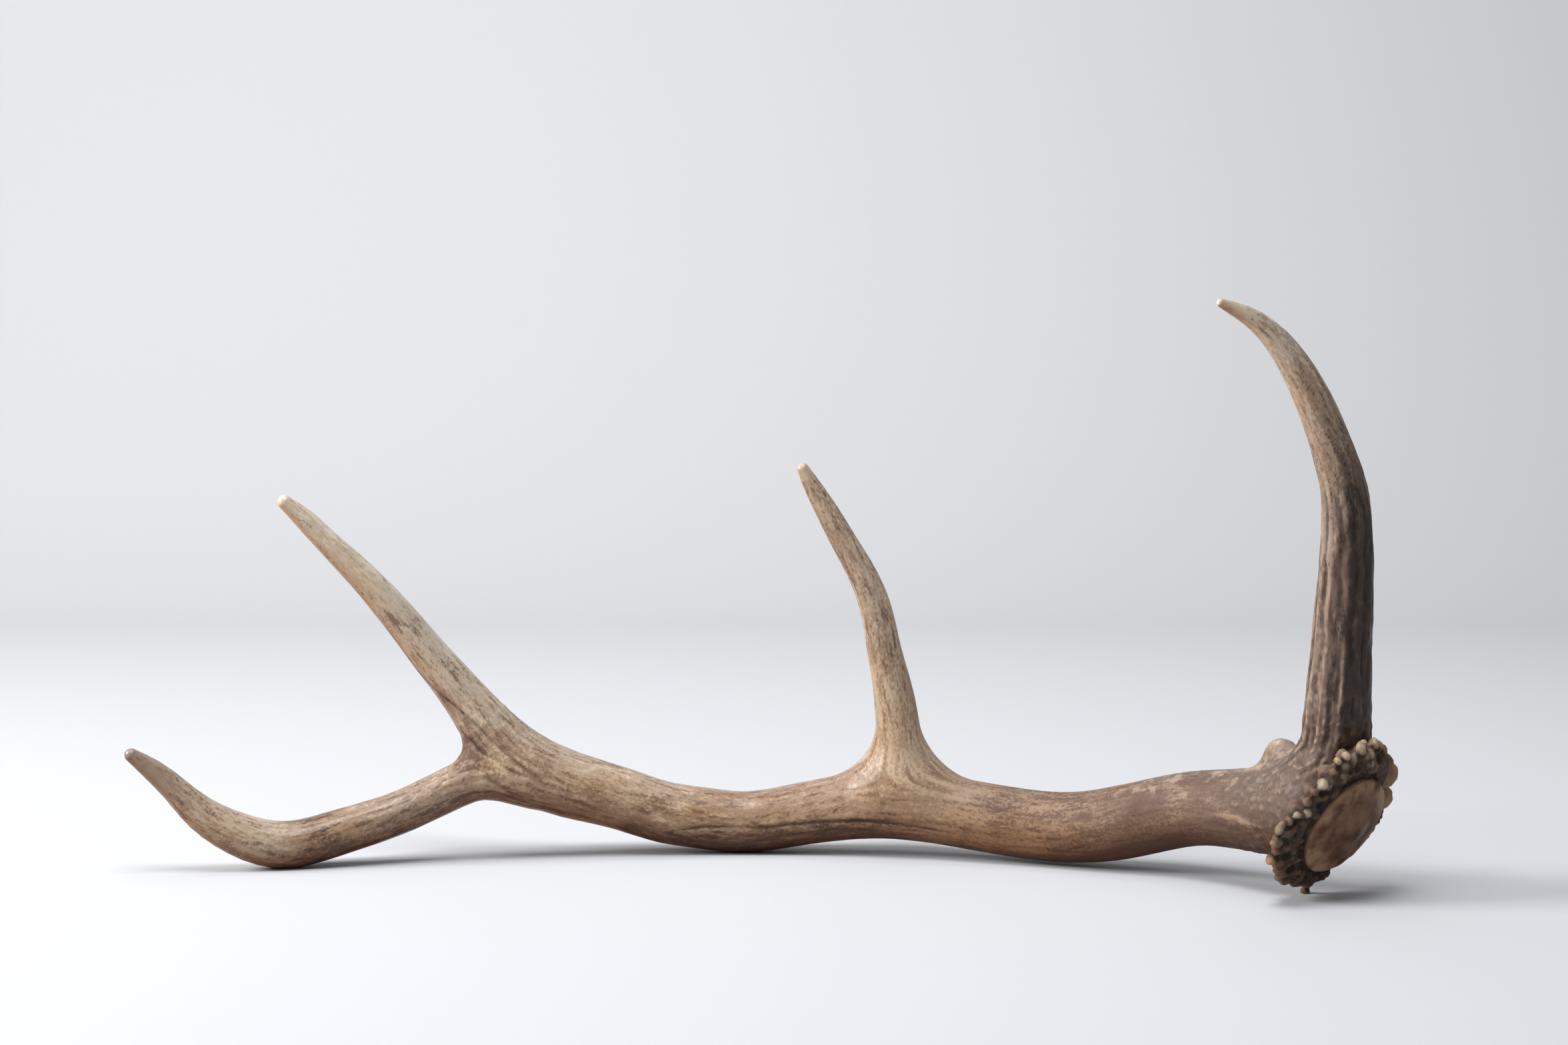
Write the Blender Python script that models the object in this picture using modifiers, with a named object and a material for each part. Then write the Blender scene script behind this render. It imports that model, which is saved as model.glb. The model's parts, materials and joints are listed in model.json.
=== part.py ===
"""A shed deer antler lying as it rests on a table: burr at +X, crown at -X, tines up.

Metres, +Z up, +X along the antler towards the burr, +Y away from the viewer. The origin is on
the table, under the middle of the antler's box. Sizes below are in millimetres.

Each tine and the beam is a path of stations, (x, y, z, radius). The tubes round the paths, the
burr's lumps and the domed seal are melted into one skin, with a round fillet at every fork. The
skin is then sawn through at the main forks, so each length of the antler is a piece of its own.
"""

import math

import bmesh
import bpy
import numpy as np
from mathutils import Matrix, Vector

MM = 0.001
OBJECT_NAME = "deer_antler"

# The beam, from the burr to the crown fork, and on into the upper crown tine to its point.
BEAM = (
    (283, -50, 46, 25.8),
    (269, -34, 41, 23.2),
    (247, -11, 38, 20.3),
    (231, 2, 36, 19.3),
    (215, 13, 31.5, 19.3),
    (199, 21, 26.5, 19.3),
    (172, 34, 20.5, 18.6),
    (131, 51, 21.5, 18.4),
    (96, 62, 25.5, 18.2),
    (60, 70, 26, 17.7),
    (25, 75, 20.5, 16.8),
    (-5, 77, 16.0, 16.4),
    (-30, 76, 18.5, 16.6),
    (-48, 75, 21.5, 16.6),
    (-65, 73, 27, 16.7),
    (-83, 70, 33, 17.2),
    (-101, 67, 38.6, 18.1),
    (-119, 64.5, 46.8, 18.1),
    (-136, 62, 61.5, 16.4),
    (-148.5, 60.5, 78, 13.2),
    (-160.5, 59, 94, 11.4),
    (-174, 57, 111, 10.3),
    (-188, 55, 129, 9.3),
    (-202, 52, 146, 8.3),
    (-216, 49, 161, 7.2),
    (-229.5, 46, 175, 6.1),
    (-241, 43, 187, 4.9),
    (-246.5, 41, 192, 3.8),
)
# The lower crown tine, which comes down to the table and turns up to its point.
LOWER_CROWN_TINE = (
    (-126, 63, 44.5, 12.0),
    (-148, 57.5, 43, 12.0),
    (-166, 53, 36, 11.6),
    (-188, 46, 26.5, 11.5),
    (-222, 36, 16.5, 12.0),
    (-247, 29, 12.0, 12.4),
    (-272, 21, 20, 11.1),
    (-289, 16, 31.5, 9.0),
    (-301, 11, 44.5, 7.0),
    (-312, 7, 55.5, 5.6),
    (-321.7, 3, 63.5, 3.6),
)
TREZ_TINE = (
    (78.5, 65, 50, 12.4),
    (77, 64, 70, 11.8),
    (74.5, 62, 88, 10.7),
    (69.5, 59, 111.5, 9.2),
    (65, 56, 133, 8.5),
    (57.5, 53, 153, 7.6),
    (48, 50, 170, 6.9),
    (38, 47, 188, 5.8),
    (30.5, 45, 201, 4.6),
    (26, 43, 209.5, 3.2),
)
BROW_TINE = (
    (288, -51, 52, 18.0),
    (291.5, -53, 73, 17.3),
    (292, -55, 91, 16.9),
    (292.5, -58, 112.5, 15.6),
    (293.5, -62, 145, 14.3),
    (293.5, -66, 175, 12.9),
    (292, -70, 201, 11.6),
    (285, -74, 226, 10.2),
    (276, -78, 247, 9.2),
    (264.5, -82, 267.5, 7.8),
    (254, -85, 281, 6.4),
    (243.5, -87, 290, 4.9),
    (233, -89, 295.5, 3.3),
    (227, -91, 298, 2.2),
)
# The bez tine is only a rounded stub on top of the beam, just behind the brow tine.
BEZ_STUB = (
    (270, -26, 52, 10.0),
    (269.5, -24, 67, 9.2),
)
# How wide the round fillet is where each branch leaves the beam.
CROWN_FILLET = 14.0
TREZ_FILLET = 29.0
BROW_FILLET = 13.0
BEZ_FILLET = 10.0
BURR_FILLET = 3.0
LUMP_FILLET = 1.9
SEAL_FILLET = 0.8
PIT_FILLET = 0.8
# A small lump's fillet is no wider than this share of its radius.
SMALL_LUMP_SHARE = 0.6

# The burr is a lumpy ring round the antler's foot. Its axis points out of the foot, and angle 0
# round it points away from the viewer, 90 up.
BURR_CENTRE = (290.5, -60.2, 42)
BURR_AXIS = (0.62, -0.64, -0.46)
RING_RADIUS = 33.0
RING_WIDTH = 7.5
RING_DEPTH = 5.0
# Where the ring is pressed: angle, spread, how far in, how far back towards the beam.
RING_DENTS = (
    (152, 28, 6.0, 0.0),
    (315, 27, 5.0, 2.5),
    (22, 30, 4.5, 3.0),
)
# The domed seal, where the antler came away, stands in the ring, a little off its middle: the
# angle and the distance that it's off by.
SEAL_SHIFT = (315, 1.7)
SEAL_RADIUS = 27.8
SEAL_OUT = 6.0
SEAL_RISE = 5.5
SEAL_ROOT = 19.0
# One row a lump: angle round the ring in degrees, distance from the axis, radius, distance out
# along the axis. The lowest one is the peg that the burr stands on.
BURR_LUMPS = (
    (8, 38.5, 6.6, -3.0),
    (33, 37.2, 7.4, -3.0),
    (48, 37.6, 5.2, -2.5),
    (54, 37.2, 3.4, -2),
    (66, 40.4, 3.0, -1),
    (75, 42, 2.6, -1),
    (84, 43, 2.9, -0.5),
    (95.5, 44, 2.2, -0.5),
    (99.5, 41.8, 3.2, 0.5),
    (107, 38.8, 2.6, 1),
    (93, 37.9, 2.3, 1.5),
    (87, 38.2, 2.5, 1.5),
    (84.5, 34, 3.1, 2),
    (113, 41.8, 2.5, 0.5),
    (121, 42.3, 2.2, 0.5),
    (115.5, 37.3, 2.2, 1.5),
    (119.5, 33.3, 2.7, 2),
    (126, 37.5, 2.2, 1),
    (132, 34, 2.5, 1.5),
    (138.5, 36, 3.0, 1.5),
    (135.5, 33.4, 2.2, 2),
    (147, 36.5, 2.3, 1),
    (150, 32.6, 2.6, 1.5),
    (157, 35.5, 2.3, 1),
    (158, 31, 2.3, 1.5),
    (165, 32.2, 2.5, 2),
    (169, 37, 2.1, 1),
    (174, 33, 2.5, 1.5),
    (175, 40, 2.3, 0.5),
    (177, 43.3, 1.9, 0),
    (180, 43.9, 2.2, 0),
    (183, 44.3, 2.1, 0),
    (184, 38.5, 3.2, 0.5),
    (192, 41.5, 3.2, 0),
    (192, 44.3, 2.0, 0),
    (200, 41, 3.0, 0),
    (201, 33.3, 1.9, 2.5),
    (197, 33.6, 1.7, 2.5),
    (208.5, 43.2, 2.8, -0.5),
    (212, 39.5, 3.2, 0),
    (222, 39.5, 3.2, 0.5),
    (230, 34.5, 3.4, 1.5),
    (232, 41, 2.8, 0),
    (240, 39.5, 3.6, 0),
    (248, 37, 3.6, 0),
    (246, 32, 3.0, 2),
    (257, 38.5, 3.4, 0),
    (266, 38.5, 3.2, 0),
    (263, 33.5, 2.6, 1.5),
    (275, 41, 3.0, 0),
    (276, 46.2, 2.6, 0),
    (282, 38.5, 3.0, 0),
    (291, 38.4, 2.9, 0.5),
    (305, 32.5, 2.8, -1.5),
    (318, 32, 2.8, -1.5),
    (331, 36.8, 2.8, 0),
    (336.5, 39.6, 2.4, 0),
    (342, 40.6, 2.6, -0.5),
    (348, 40.8, 2.5, -0.5),
    (353.5, 39.5, 2.5, 0),
    (358, 39, 2.4, -0.5),
)
# One row a pit, the same way.
BURR_PITS = (
    (76, 37.8, 3.0, 4.6),
    (101.5, 34.2, 3.4, 5.4),
    (111, 34, 1.8, 4.8),
    (184, 35, 2.0, 5.2),
    (205.5, 37.6, 2.4, 4.6),
    (224, 35.6, 2.6, 5.0),
    (152, 29.5, 1.8, 5.0),
    (254, 35, 2.0, 4.4),
)
# More lumps stand round the ring's beam side.
BACK_LUMPS = 17
BACK_LUMP_REACH = 36.0
BACK_LUMP_OUT = -4.5
BACK_LUMP_SIZES = (3.4, 2.6, 3.9)
# Ridges run up the brow tine and fade out towards its point.
BROW_RIDGES = 11
BROW_RIDGE_HEIGHT = 0.55
BROW_RIDGE_ENDS = (70.0, 235.0)
BROW_RIDGE_FADES = (25.0, 65.0)

# Where the forks are sawn: a point on the saw plane, the direction that it faces, and how far
# the blade reaches.
SAW_GAP = 0.3
SAW_CUTS = (
    ((292, -55.5, 92), (0.0, -0.1, 1.0), 32),
    ((76.5, 63.5, 74), (-0.1, -0.07, 1.0), 26),
    ((33, 74, 21.5), (1.0, -0.12, 0.1), 34),
    ((-153, 60, 84), (-0.62, -0.08, 0.78), 30),
    ((-172, 51, 33), (-0.9, -0.29, -0.33), 26),
)
# A point well inside each piece, by which its name is found.
PIECE_POINTS = {
    "lower_beam": (172, 34, 20),
    "upper_beam": (-30, 76, 18),
    "brow_tine": (293, -66, 175),
    "trez_tine": (64, 56, 133),
    "upper_crown_tine": (-188, 55, 129),
    "lower_crown_tine": (-222, 36, 16),
}
# Colour and roughness of each piece. The tines are paler than the beam, and the brow tine darker.
PIECE_FINISH = {
    "lower_beam": ((0.23, 0.155, 0.10), 0.55),
    "upper_beam": ((0.31, 0.215, 0.135), 0.48),
    "brow_tine": ((0.17, 0.125, 0.09), 0.6),
    "trez_tine": ((0.40, 0.30, 0.19), 0.42),
    "upper_crown_tine": ((0.45, 0.36, 0.24), 0.42),
    "lower_crown_tine": ((0.28, 0.20, 0.13), 0.42),
}

VOXEL = 1.4
TRIANGLES = 8700
# The longest move in each round of settling the points on to the skin, in two goes.
SETTLE_STEPS = ((6.0, 5.0, 1.0), (2.0, 1.0))
PATH_STEP = 7.0
# Degrees between the balls that the burr's ring starts as.
RING_STEP = 12
# Anything that the saw leaves with fewer faces than this is a crumb.
CRUMB_FACES = 50
# The block that stands for the table: its length, width and thickness.
TABLE_SIZE = (900, 500, 20)
# Edges that bend by more degrees than this are drawn sharp.
SHARP_ANGLE = 40.0


def clear_scene():
    """Remove everything that the start-up scene holds."""
    for old in list(bpy.data.objects):
        bpy.data.objects.remove(old)


def smooth_path(stations):
    """A natural cubic spline through the stations, read off every few millimetres."""
    knots = np.array(stations, float)
    chord = np.linalg.norm(np.diff(knots[:, :3], axis=0), axis=1)
    at = np.concatenate([[0.0], np.cumsum(chord)])
    slope = np.diff(knots, axis=0) / chord[:, None]
    bend = np.zeros_like(knots)
    if len(knots) > 2:
        inner = np.diag(2.0 * (chord[:-1] + chord[1:]))
        inner += np.diag(chord[1:-1], 1) + np.diag(chord[1:-1], -1)
        bend[1:-1] = np.linalg.solve(inner, 6.0 * np.diff(slope, axis=0))
    where = np.linspace(0.0, at[-1], max(2, round(at[-1] / PATH_STEP) + 1))
    span = np.clip(np.searchsorted(at, where, side="right") - 1, 0, len(chord) - 1)
    size = chord[span, None]
    right = (where - at[span])[:, None]
    left = size - right
    cubic = (bend[span] * left**3 + bend[span + 1] * right**3) / (6.0 * size)
    start = (knots[span] / size - bend[span] * size / 6.0) * left
    end = (knots[span + 1] / size - bend[span + 1] * size / 6.0) * right
    return cubic + start + end


def tube_distance(points, path):
    """Distance from each point to the skin of the tube round a path, negative inside it."""
    nearest = np.full(len(points), np.inf)
    for start, end in zip(path[:-1], path[1:]):
        along = end[:3] - start[:3]
        offset = points - start[:3]
        share = np.clip(offset @ along / (along @ along), 0.0, 1.0)
        gap = np.linalg.norm(offset - share[:, None] * along, axis=1)
        nearest = np.minimum(nearest, gap - start[3] - share * (end[3] - start[3]))
    return nearest


def join(first, second, fillet):
    """The union of two skins, with a round fillet where they meet."""
    inside_first = np.maximum(fillet - first, 0.0)
    inside_second = np.maximum(fillet - second, 0.0)
    return np.maximum(fillet, np.minimum(first, second)) - np.hypot(inside_first, inside_second)


def burr_frame():
    """The burr's axis, and the two directions in its plane that angles 0 and 90 point in."""
    axis = np.array(BURR_AXIS) / np.linalg.norm(BURR_AXIS)
    level = np.cross((0.0, 0.0, 1.0), axis)
    level /= np.linalg.norm(level)
    return axis, level, np.cross(axis, level)


def burr_place(angle, reach, out):
    """A place on the burr, from its angle round the ring in degrees and its two distances."""
    axis, level, up = burr_frame()
    turn = math.radians(angle)
    spoke = math.cos(turn) * level + math.sin(turn) * up
    return np.array(BURR_CENTRE) + reach * spoke + out * axis


def burr_polar(points, middle):
    """Each point's distance from the axis through a middle, distance out along it, and angle."""
    axis, level, up = burr_frame()
    offset = points - middle
    out = offset @ axis
    across = offset - out[:, None] * axis
    angle = np.degrees(np.arctan2(across @ up, across @ level)) % 360.0
    return np.linalg.norm(across, axis=1), out, angle


def oval_distance(side, rise, side_radius, rise_radius):
    """Distance to an oval's edge, near enough, from its centre's two offsets."""
    scaled = np.hypot(side / side_radius, rise / rise_radius)
    steep = np.hypot(side / side_radius**2, rise / rise_radius**2)
    return scaled * (scaled - 1.0) / np.maximum(steep, 1e-6)


def ring_pressed(angle):
    """How far the ring is pressed in, and how far back, at an angle."""
    inward, back = 0.0, 0.0
    for middle, spread, dent_in, dent_back in RING_DENTS:
        turn = (angle - middle + 180.0) % 360.0 - 180.0
        share = np.exp(-((turn / spread) ** 2))
        inward = inward + dent_in * share
        back = back + dent_back * share
    return inward, back


def ring_distance(points):
    """Distance to the burr's plain ring, before its lumps."""
    reach, out, angle = burr_polar(points, np.array(BURR_CENTRE))
    inward, back = ring_pressed(angle)
    return oval_distance(reach - RING_RADIUS + inward, out + back, RING_WIDTH, RING_DEPTH)


def seal_distance(points):
    """Distance to the seal, a low dome on a deep root."""
    reach, out, _ = burr_polar(points, burr_place(*SEAL_SHIFT, 0.0))
    above = out - SEAL_OUT
    return oval_distance(reach, above, SEAL_RADIUS, np.where(above > 0.0, SEAL_RISE, SEAL_ROOT))


def all_lumps():
    """Every lump of the burr, as its centre and radius."""
    lumps = [(burr_place(angle, reach, out), size) for angle, reach, size, out in BURR_LUMPS]
    for number in range(BACK_LUMPS):
        angle = 360.0 * number / BACK_LUMPS
        reach = BACK_LUMP_REACH - ring_pressed(angle)[0]
        size = BACK_LUMP_SIZES[number % len(BACK_LUMP_SIZES)]
        lumps.append((burr_place(angle, reach, BACK_LUMP_OUT), size))
    return lumps


def brow_ridge(points, path):
    """Height of the brow tine's ridges over a point, from the point's side of the tine."""
    height = points[:, 2]
    order = np.argsort(path[:, 2])
    centre_x = np.interp(height, path[order, 2], path[order, 0])
    centre_y = np.interp(height, path[order, 2], path[order, 1])
    side = np.arctan2(points[:, 1] - centre_y, points[:, 0] - centre_x)
    low, high = BROW_RIDGE_ENDS
    low_fade, high_fade = BROW_RIDGE_FADES
    fade = np.clip((height - low) / low_fade, 0.0, 1.0)
    fade *= np.clip((high - height) / high_fade, 0.0, 1.0)
    return BROW_RIDGE_HEIGHT * fade * np.cos(BROW_RIDGES * side)


class Skin:
    """The antler's whole skin, as the distance of any point from it."""

    def __init__(self):
        self.beam = smooth_path(BEAM)
        self.lower_crown = smooth_path(LOWER_CROWN_TINE)
        self.trez = smooth_path(TREZ_TINE)
        self.brow = smooth_path(BROW_TINE)
        self.bez = smooth_path(BEZ_STUB)
        self.lumps = all_lumps()
        self.pits = [(burr_place(angle, reach, out), size) for angle, reach, size, out in BURR_PITS]

    def tubes(self):
        """Every tube, as the path that it follows."""
        return [self.beam, self.lower_crown, self.trez, self.brow, self.bez]

    def foot(self, points, skin):
        """Add the burr's ring, its lumps and the seal to the skin, and carve its pits."""
        skin = join(skin, ring_distance(points), BURR_FILLET)
        for centre, radius in self.lumps:
            lump = np.linalg.norm(points - centre, axis=1) - radius
            skin = join(skin, lump, min(LUMP_FILLET, SMALL_LUMP_SHARE * radius))
        for centre, radius in self.pits:
            pit = np.linalg.norm(points - centre, axis=1) - radius
            skin = -join(-skin, pit, PIT_FILLET)
        return join(skin, seal_distance(points), SEAL_FILLET)

    def distance(self, points):
        """Distance of each point from the skin, negative inside."""
        skin = tube_distance(points, self.beam)
        skin = join(skin, tube_distance(points, self.lower_crown), CROWN_FILLET)
        skin = join(skin, tube_distance(points, self.trez), TREZ_FILLET)
        brow = tube_distance(points, self.brow) - brow_ridge(points, self.brow)
        skin = join(skin, brow, BROW_FILLET)
        skin = join(skin, tube_distance(points, self.bez), BEZ_FILLET)
        return self.foot(points, skin)

    def settle(self, points, longest_steps):
        """Move the points on to the skin down the slope of the distance, in limited steps."""
        probe = 0.05
        for longest in longest_steps:
            here = self.distance(points)
            slope = [self.distance(points + probe * way) - here for way in np.eye(3)]
            slope = np.stack(slope, axis=1) / probe
            steep = np.maximum((slope**2).sum(axis=1), 0.25)
            points = points - slope * np.clip(here / steep, -longest, longest)[:, None]
        return points


def add_object(name, mesh, collection):
    """A new object in a collection."""
    made = bpy.data.objects.new(name, mesh)
    collection.objects.link(made)
    return made


def applied(obj):
    """A new mesh with the object's modifiers applied. The object is removed."""
    bpy.context.view_layer.update()
    graph = bpy.context.evaluated_depsgraph_get()
    mesh = bpy.data.meshes.new_from_object(obj.evaluated_get(graph))
    bpy.data.objects.remove(obj)
    return mesh


def tube_mesh(path, collection):
    """A round bar along a path, as a bevelled curve made into a mesh."""
    curve = bpy.data.curves.new("bar", "CURVE")
    curve.dimensions = "3D"
    curve.bevel_depth = MM
    curve.bevel_resolution = 6
    curve.use_fill_caps = True
    spline = curve.splines.new("POLY")
    spline.points.add(len(path) - 1)
    for point, (x, y, z, radius) in zip(spline.points, path):
        point.co = (x * MM, y * MM, z * MM, 1.0)
        point.radius = radius
    return applied(add_object("bar", curve, collection))


def add_ball(shape, centre, radius, flatness=1.0):
    """Add a ball to a bmesh, flattened along the burr's axis where flatness is under 1."""
    axis, _, _ = burr_frame()
    turn = Vector(axis).to_track_quat("Z", "Y").to_matrix().to_4x4()
    flatten = Matrix.Diagonal((1.0, 1.0, flatness, 1.0))
    place = Matrix.Translation(Vector(centre) * MM) @ turn @ flatten
    bmesh.ops.create_icosphere(shape, subdivisions=3, radius=radius * MM, matrix=place)


def rough_body(skin, collection):
    """The bars with their rounded ends, the burr's lumps and the seal, all overlapping."""
    rough = bmesh.new()
    for path in skin.tubes():
        bar = tube_mesh(path, collection)
        rough.from_mesh(bar)
        bpy.data.meshes.remove(bar)
        for end in (path[0], path[-1]):
            add_ball(rough, end[:3], end[3])
    for centre, radius in skin.lumps:
        add_ball(rough, centre, radius)
    for angle in range(0, 360, RING_STEP):
        inward, back = ring_pressed(angle)
        place = burr_place(angle, RING_RADIUS - inward, -back)
        add_ball(rough, place, RING_WIDTH, RING_DEPTH / RING_WIDTH)
    for depth in (0.0, SEAL_OUT):
        add_ball(rough, burr_place(*SEAL_SHIFT, depth), SEAL_RADIUS, SEAL_RISE / SEAL_RADIUS)
    bmesh.ops.remove_doubles(rough, verts=rough.verts, dist=1e-6)
    mesh = bpy.data.meshes.new("antler_rough")
    rough.to_mesh(mesh)
    rough.free()
    return mesh


def melted(mesh, collection):
    """The mesh remade as one even closed skin, without the hollows that overlaps leave inside."""
    body = add_object("antler_skin", mesh, collection)
    remesh = body.modifiers.new("even skin", "REMESH")
    remesh.mode = "VOXEL"
    remesh.voxel_size = VOXEL * MM
    return loose_pieces(applied(body))[0]


def settle_mesh(mesh, skin, longest_steps):
    """Move a mesh's points on to the skin."""
    points = np.empty(len(mesh.vertices) * 3)
    mesh.vertices.foreach_get("co", points)
    points = skin.settle(points.reshape(-1, 3) / MM, longest_steps) * MM
    mesh.vertices.foreach_set("co", points.ravel())
    mesh.update()


def lightened(mesh, collection):
    """The skin with only as many triangles as its curves need."""
    body = add_object("antler_light", mesh, collection)
    count = sum(len(face.vertices) - 2 for face in mesh.polygons)
    decimate = body.modifiers.new("lighten", "DECIMATE")
    decimate.ratio = TRIANGLES / count
    decimate.use_collapse_triangulate = True
    return applied(body)


def add_cutter(name, mesh_tool, matrix, collection, **sizes):
    """A wire-drawn helper, made by one of bmesh's primitives."""
    shape = bmesh.new()
    mesh_tool(shape, matrix=matrix, **sizes)
    mesh = bpy.data.meshes.new(name)
    shape.to_mesh(mesh)
    shape.free()
    cutter = add_object(name, mesh, collection)
    cutter.display_type = "WIRE"
    cutter.hide_render = True
    return cutter


def saw_blades(collection):
    """A thin round blade at each main fork."""
    blades = []
    for number, (place, facing, reach) in enumerate(SAW_CUTS):
        turn = Vector(facing).to_track_quat("Z", "Y").to_matrix().to_4x4()
        blades.append(
            add_cutter(
                f"saw_{number}",
                bmesh.ops.create_cone,
                Matrix.Translation(Vector(place) * MM) @ turn,
                collection,
                cap_ends=True,
                segments=24,
                radius1=reach * MM,
                radius2=reach * MM,
                depth=SAW_GAP * MM,
            )
        )
    return blades


def table_block(collection):
    """A block with its top at the table, which flattens the spots that the antler rests on."""
    size = Vector(TABLE_SIZE) * MM
    return add_cutter(
        "table",
        bmesh.ops.create_cube,
        Matrix.Translation((0.0, 0.0, -size.z / 2.0)) @ Matrix.Diagonal((*size, 1.0)),
        collection,
        size=1.0,
    )


def cut(mesh, cutters, collection):
    """The mesh with every cutter taken out of it."""
    body = add_object("antler_cut", mesh, collection)
    for cutter in cutters:
        boolean = body.modifiers.new(cutter.name, "BOOLEAN")
        boolean.operation = "DIFFERENCE"
        boolean.object = cutter
    return applied(body)


def connected_faces(whole):
    """The faces of a bmesh in connected groups, the largest first."""
    unseen = set(whole.faces)
    groups = []
    while unseen:
        front = [unseen.pop()]
        group = list(front)
        while front:
            beside = {other for edge in front.pop().edges for other in edge.link_faces}
            beside &= unseen
            unseen -= beside
            group.extend(beside)
            front.extend(beside)
        groups.append(group)
    return sorted(groups, key=len, reverse=True)


def loose_pieces(mesh):
    """Each connected piece of a mesh as its own mesh, the largest first, without crumbs."""
    whole = bmesh.new()
    whole.from_mesh(mesh)
    groups = [group for group in connected_faces(whole) if len(group) > CRUMB_FACES]
    pieces = []
    for group in groups:
        index = {}
        for face in sorted(group, key=lambda face: face.index):
            for corner in face.verts:
                index.setdefault(corner, len(index))
        faces = [[index[corner] for corner in face.verts] for face in group]
        piece = bpy.data.meshes.new("piece")
        piece.from_pydata([corner.co for corner in index], [], faces)
        pieces.append(piece)
    whole.free()
    bpy.data.meshes.remove(mesh)
    return pieces


def name_of(mesh):
    """The piece whose inside point is nearest to the mesh."""
    corners = np.array([tuple(v.co) for v in mesh.vertices]) / MM
    gaps = {
        name: np.linalg.norm(corners - np.array(point), axis=1).min()
        for name, point in PIECE_POINTS.items()
    }
    return min(gaps, key=gaps.get)


def finish_material(name):
    """The piece's own plain material."""
    colour, roughness = PIECE_FINISH[name]
    material = bpy.data.materials.new(name)
    material.use_nodes = True
    shader = material.node_tree.nodes["Principled BSDF"]
    shader.inputs["Base Color"].default_value = (*colour, 1.0)
    shader.inputs["Roughness"].default_value = roughness
    shader.inputs["Metallic"].default_value = 0.0
    return material


def build():
    """Make the antler."""
    clear_scene()
    parts = bpy.data.collections.new(OBJECT_NAME)
    cutters = bpy.data.collections.new("cutters")
    for collection in (parts, cutters):
        bpy.context.scene.collection.children.link(collection)
    skin = Skin()
    body = melted(rough_body(skin, parts), parts)
    for longest_steps in SETTLE_STEPS:
        settle_mesh(body, skin, longest_steps)
        body = melted(body, parts)
    body = lightened(body, parts)
    body = cut(body, saw_blades(cutters) + [table_block(cutters)], parts)
    for mesh in loose_pieces(body):
        name = name_of(mesh)
        mesh.materials.append(finish_material(name))
        mesh.shade_smooth()
        mesh.set_sharp_from_angle(angle=math.radians(SHARP_ANGLE))
        add_object(name, mesh, parts)


if __name__ == "__main__":
    build()
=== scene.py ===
"""A shed deer antler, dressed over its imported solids.

The antler lies as it rests: burr at +X, crown at -X, tines up, seen from -Y. Sizes are in
millimetres unless a name says otherwise. The bone is one skin round a set of branch paths. It
gets its relief and its colour marks along lines that follow the grain, and is then parted at
the main forks, so that each length of the antler stands for its own solid.
"""

import json
import logging
import math
from collections.abc import Iterable, Sequence
from dataclasses import dataclass, field
from enum import Enum, IntEnum

import bpy
import bmesh
import numpy as np
from mathutils import Matrix, Vector

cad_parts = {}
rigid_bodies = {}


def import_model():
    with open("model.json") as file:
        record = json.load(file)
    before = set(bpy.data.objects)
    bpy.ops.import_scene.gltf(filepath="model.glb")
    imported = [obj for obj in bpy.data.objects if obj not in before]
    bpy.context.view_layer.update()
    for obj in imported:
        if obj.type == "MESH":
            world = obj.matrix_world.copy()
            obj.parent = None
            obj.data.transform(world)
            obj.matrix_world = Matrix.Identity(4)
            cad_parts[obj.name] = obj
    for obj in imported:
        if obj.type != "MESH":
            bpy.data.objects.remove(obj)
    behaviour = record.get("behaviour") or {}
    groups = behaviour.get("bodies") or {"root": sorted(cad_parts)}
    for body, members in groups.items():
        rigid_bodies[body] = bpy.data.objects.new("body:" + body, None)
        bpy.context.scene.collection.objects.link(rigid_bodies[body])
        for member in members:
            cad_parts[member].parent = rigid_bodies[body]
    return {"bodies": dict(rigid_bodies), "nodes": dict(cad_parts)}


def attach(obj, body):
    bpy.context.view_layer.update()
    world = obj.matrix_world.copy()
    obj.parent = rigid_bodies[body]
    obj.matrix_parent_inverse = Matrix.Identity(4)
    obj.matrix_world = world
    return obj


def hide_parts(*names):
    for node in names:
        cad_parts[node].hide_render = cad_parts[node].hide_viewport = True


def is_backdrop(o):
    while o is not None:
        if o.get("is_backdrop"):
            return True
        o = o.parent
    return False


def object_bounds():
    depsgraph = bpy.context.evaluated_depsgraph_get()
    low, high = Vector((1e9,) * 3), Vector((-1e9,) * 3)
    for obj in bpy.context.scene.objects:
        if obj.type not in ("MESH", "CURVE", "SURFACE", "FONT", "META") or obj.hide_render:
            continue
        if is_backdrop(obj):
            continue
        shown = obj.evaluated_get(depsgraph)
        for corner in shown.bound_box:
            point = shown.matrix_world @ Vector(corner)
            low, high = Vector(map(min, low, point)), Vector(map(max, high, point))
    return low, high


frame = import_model()
cad_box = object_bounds()

MM = 0.001
TINY = 1e-12
SMALL = 1e-6
BODY = "root"
LOG = logging.getLogger("antler")

Array = np.ndarray
Station = tuple[float, float, float, float]
Tone = tuple[float, float, float, float, float]
Lump = tuple[float, float, float, float, float]
Colour = tuple[float, float, float]
Spot = tuple[float, float, float]
Band = tuple[float, float]
Marking = dict[str, Array]


# ------------------------------------------------------------------ fields in space


def smooth_step(values: Array, low: float, high: float) -> Array:
    """A soft step from 0 at low to 1 at high.

    Args:
        values: what is stepped.
        low: where the step starts; it may be above high.
        high: where the step ends.

    Returns:
        The stepped values, from 0 to 1.
    """
    share = np.clip((values - low) / (high - low), 0.0, 1.0)
    return share * share * (3.0 - 2.0 * share)


def unit(vectors: Array) -> Array:
    """The vectors with a length of one."""
    size = np.linalg.norm(vectors, axis=-1, keepdims=True)
    return vectors / np.maximum(size, TINY)


def dots(first: Array, second: Array) -> Array:
    """The dot product of each pair of rows."""
    return np.einsum("ij,ij->i", first, second)


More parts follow.
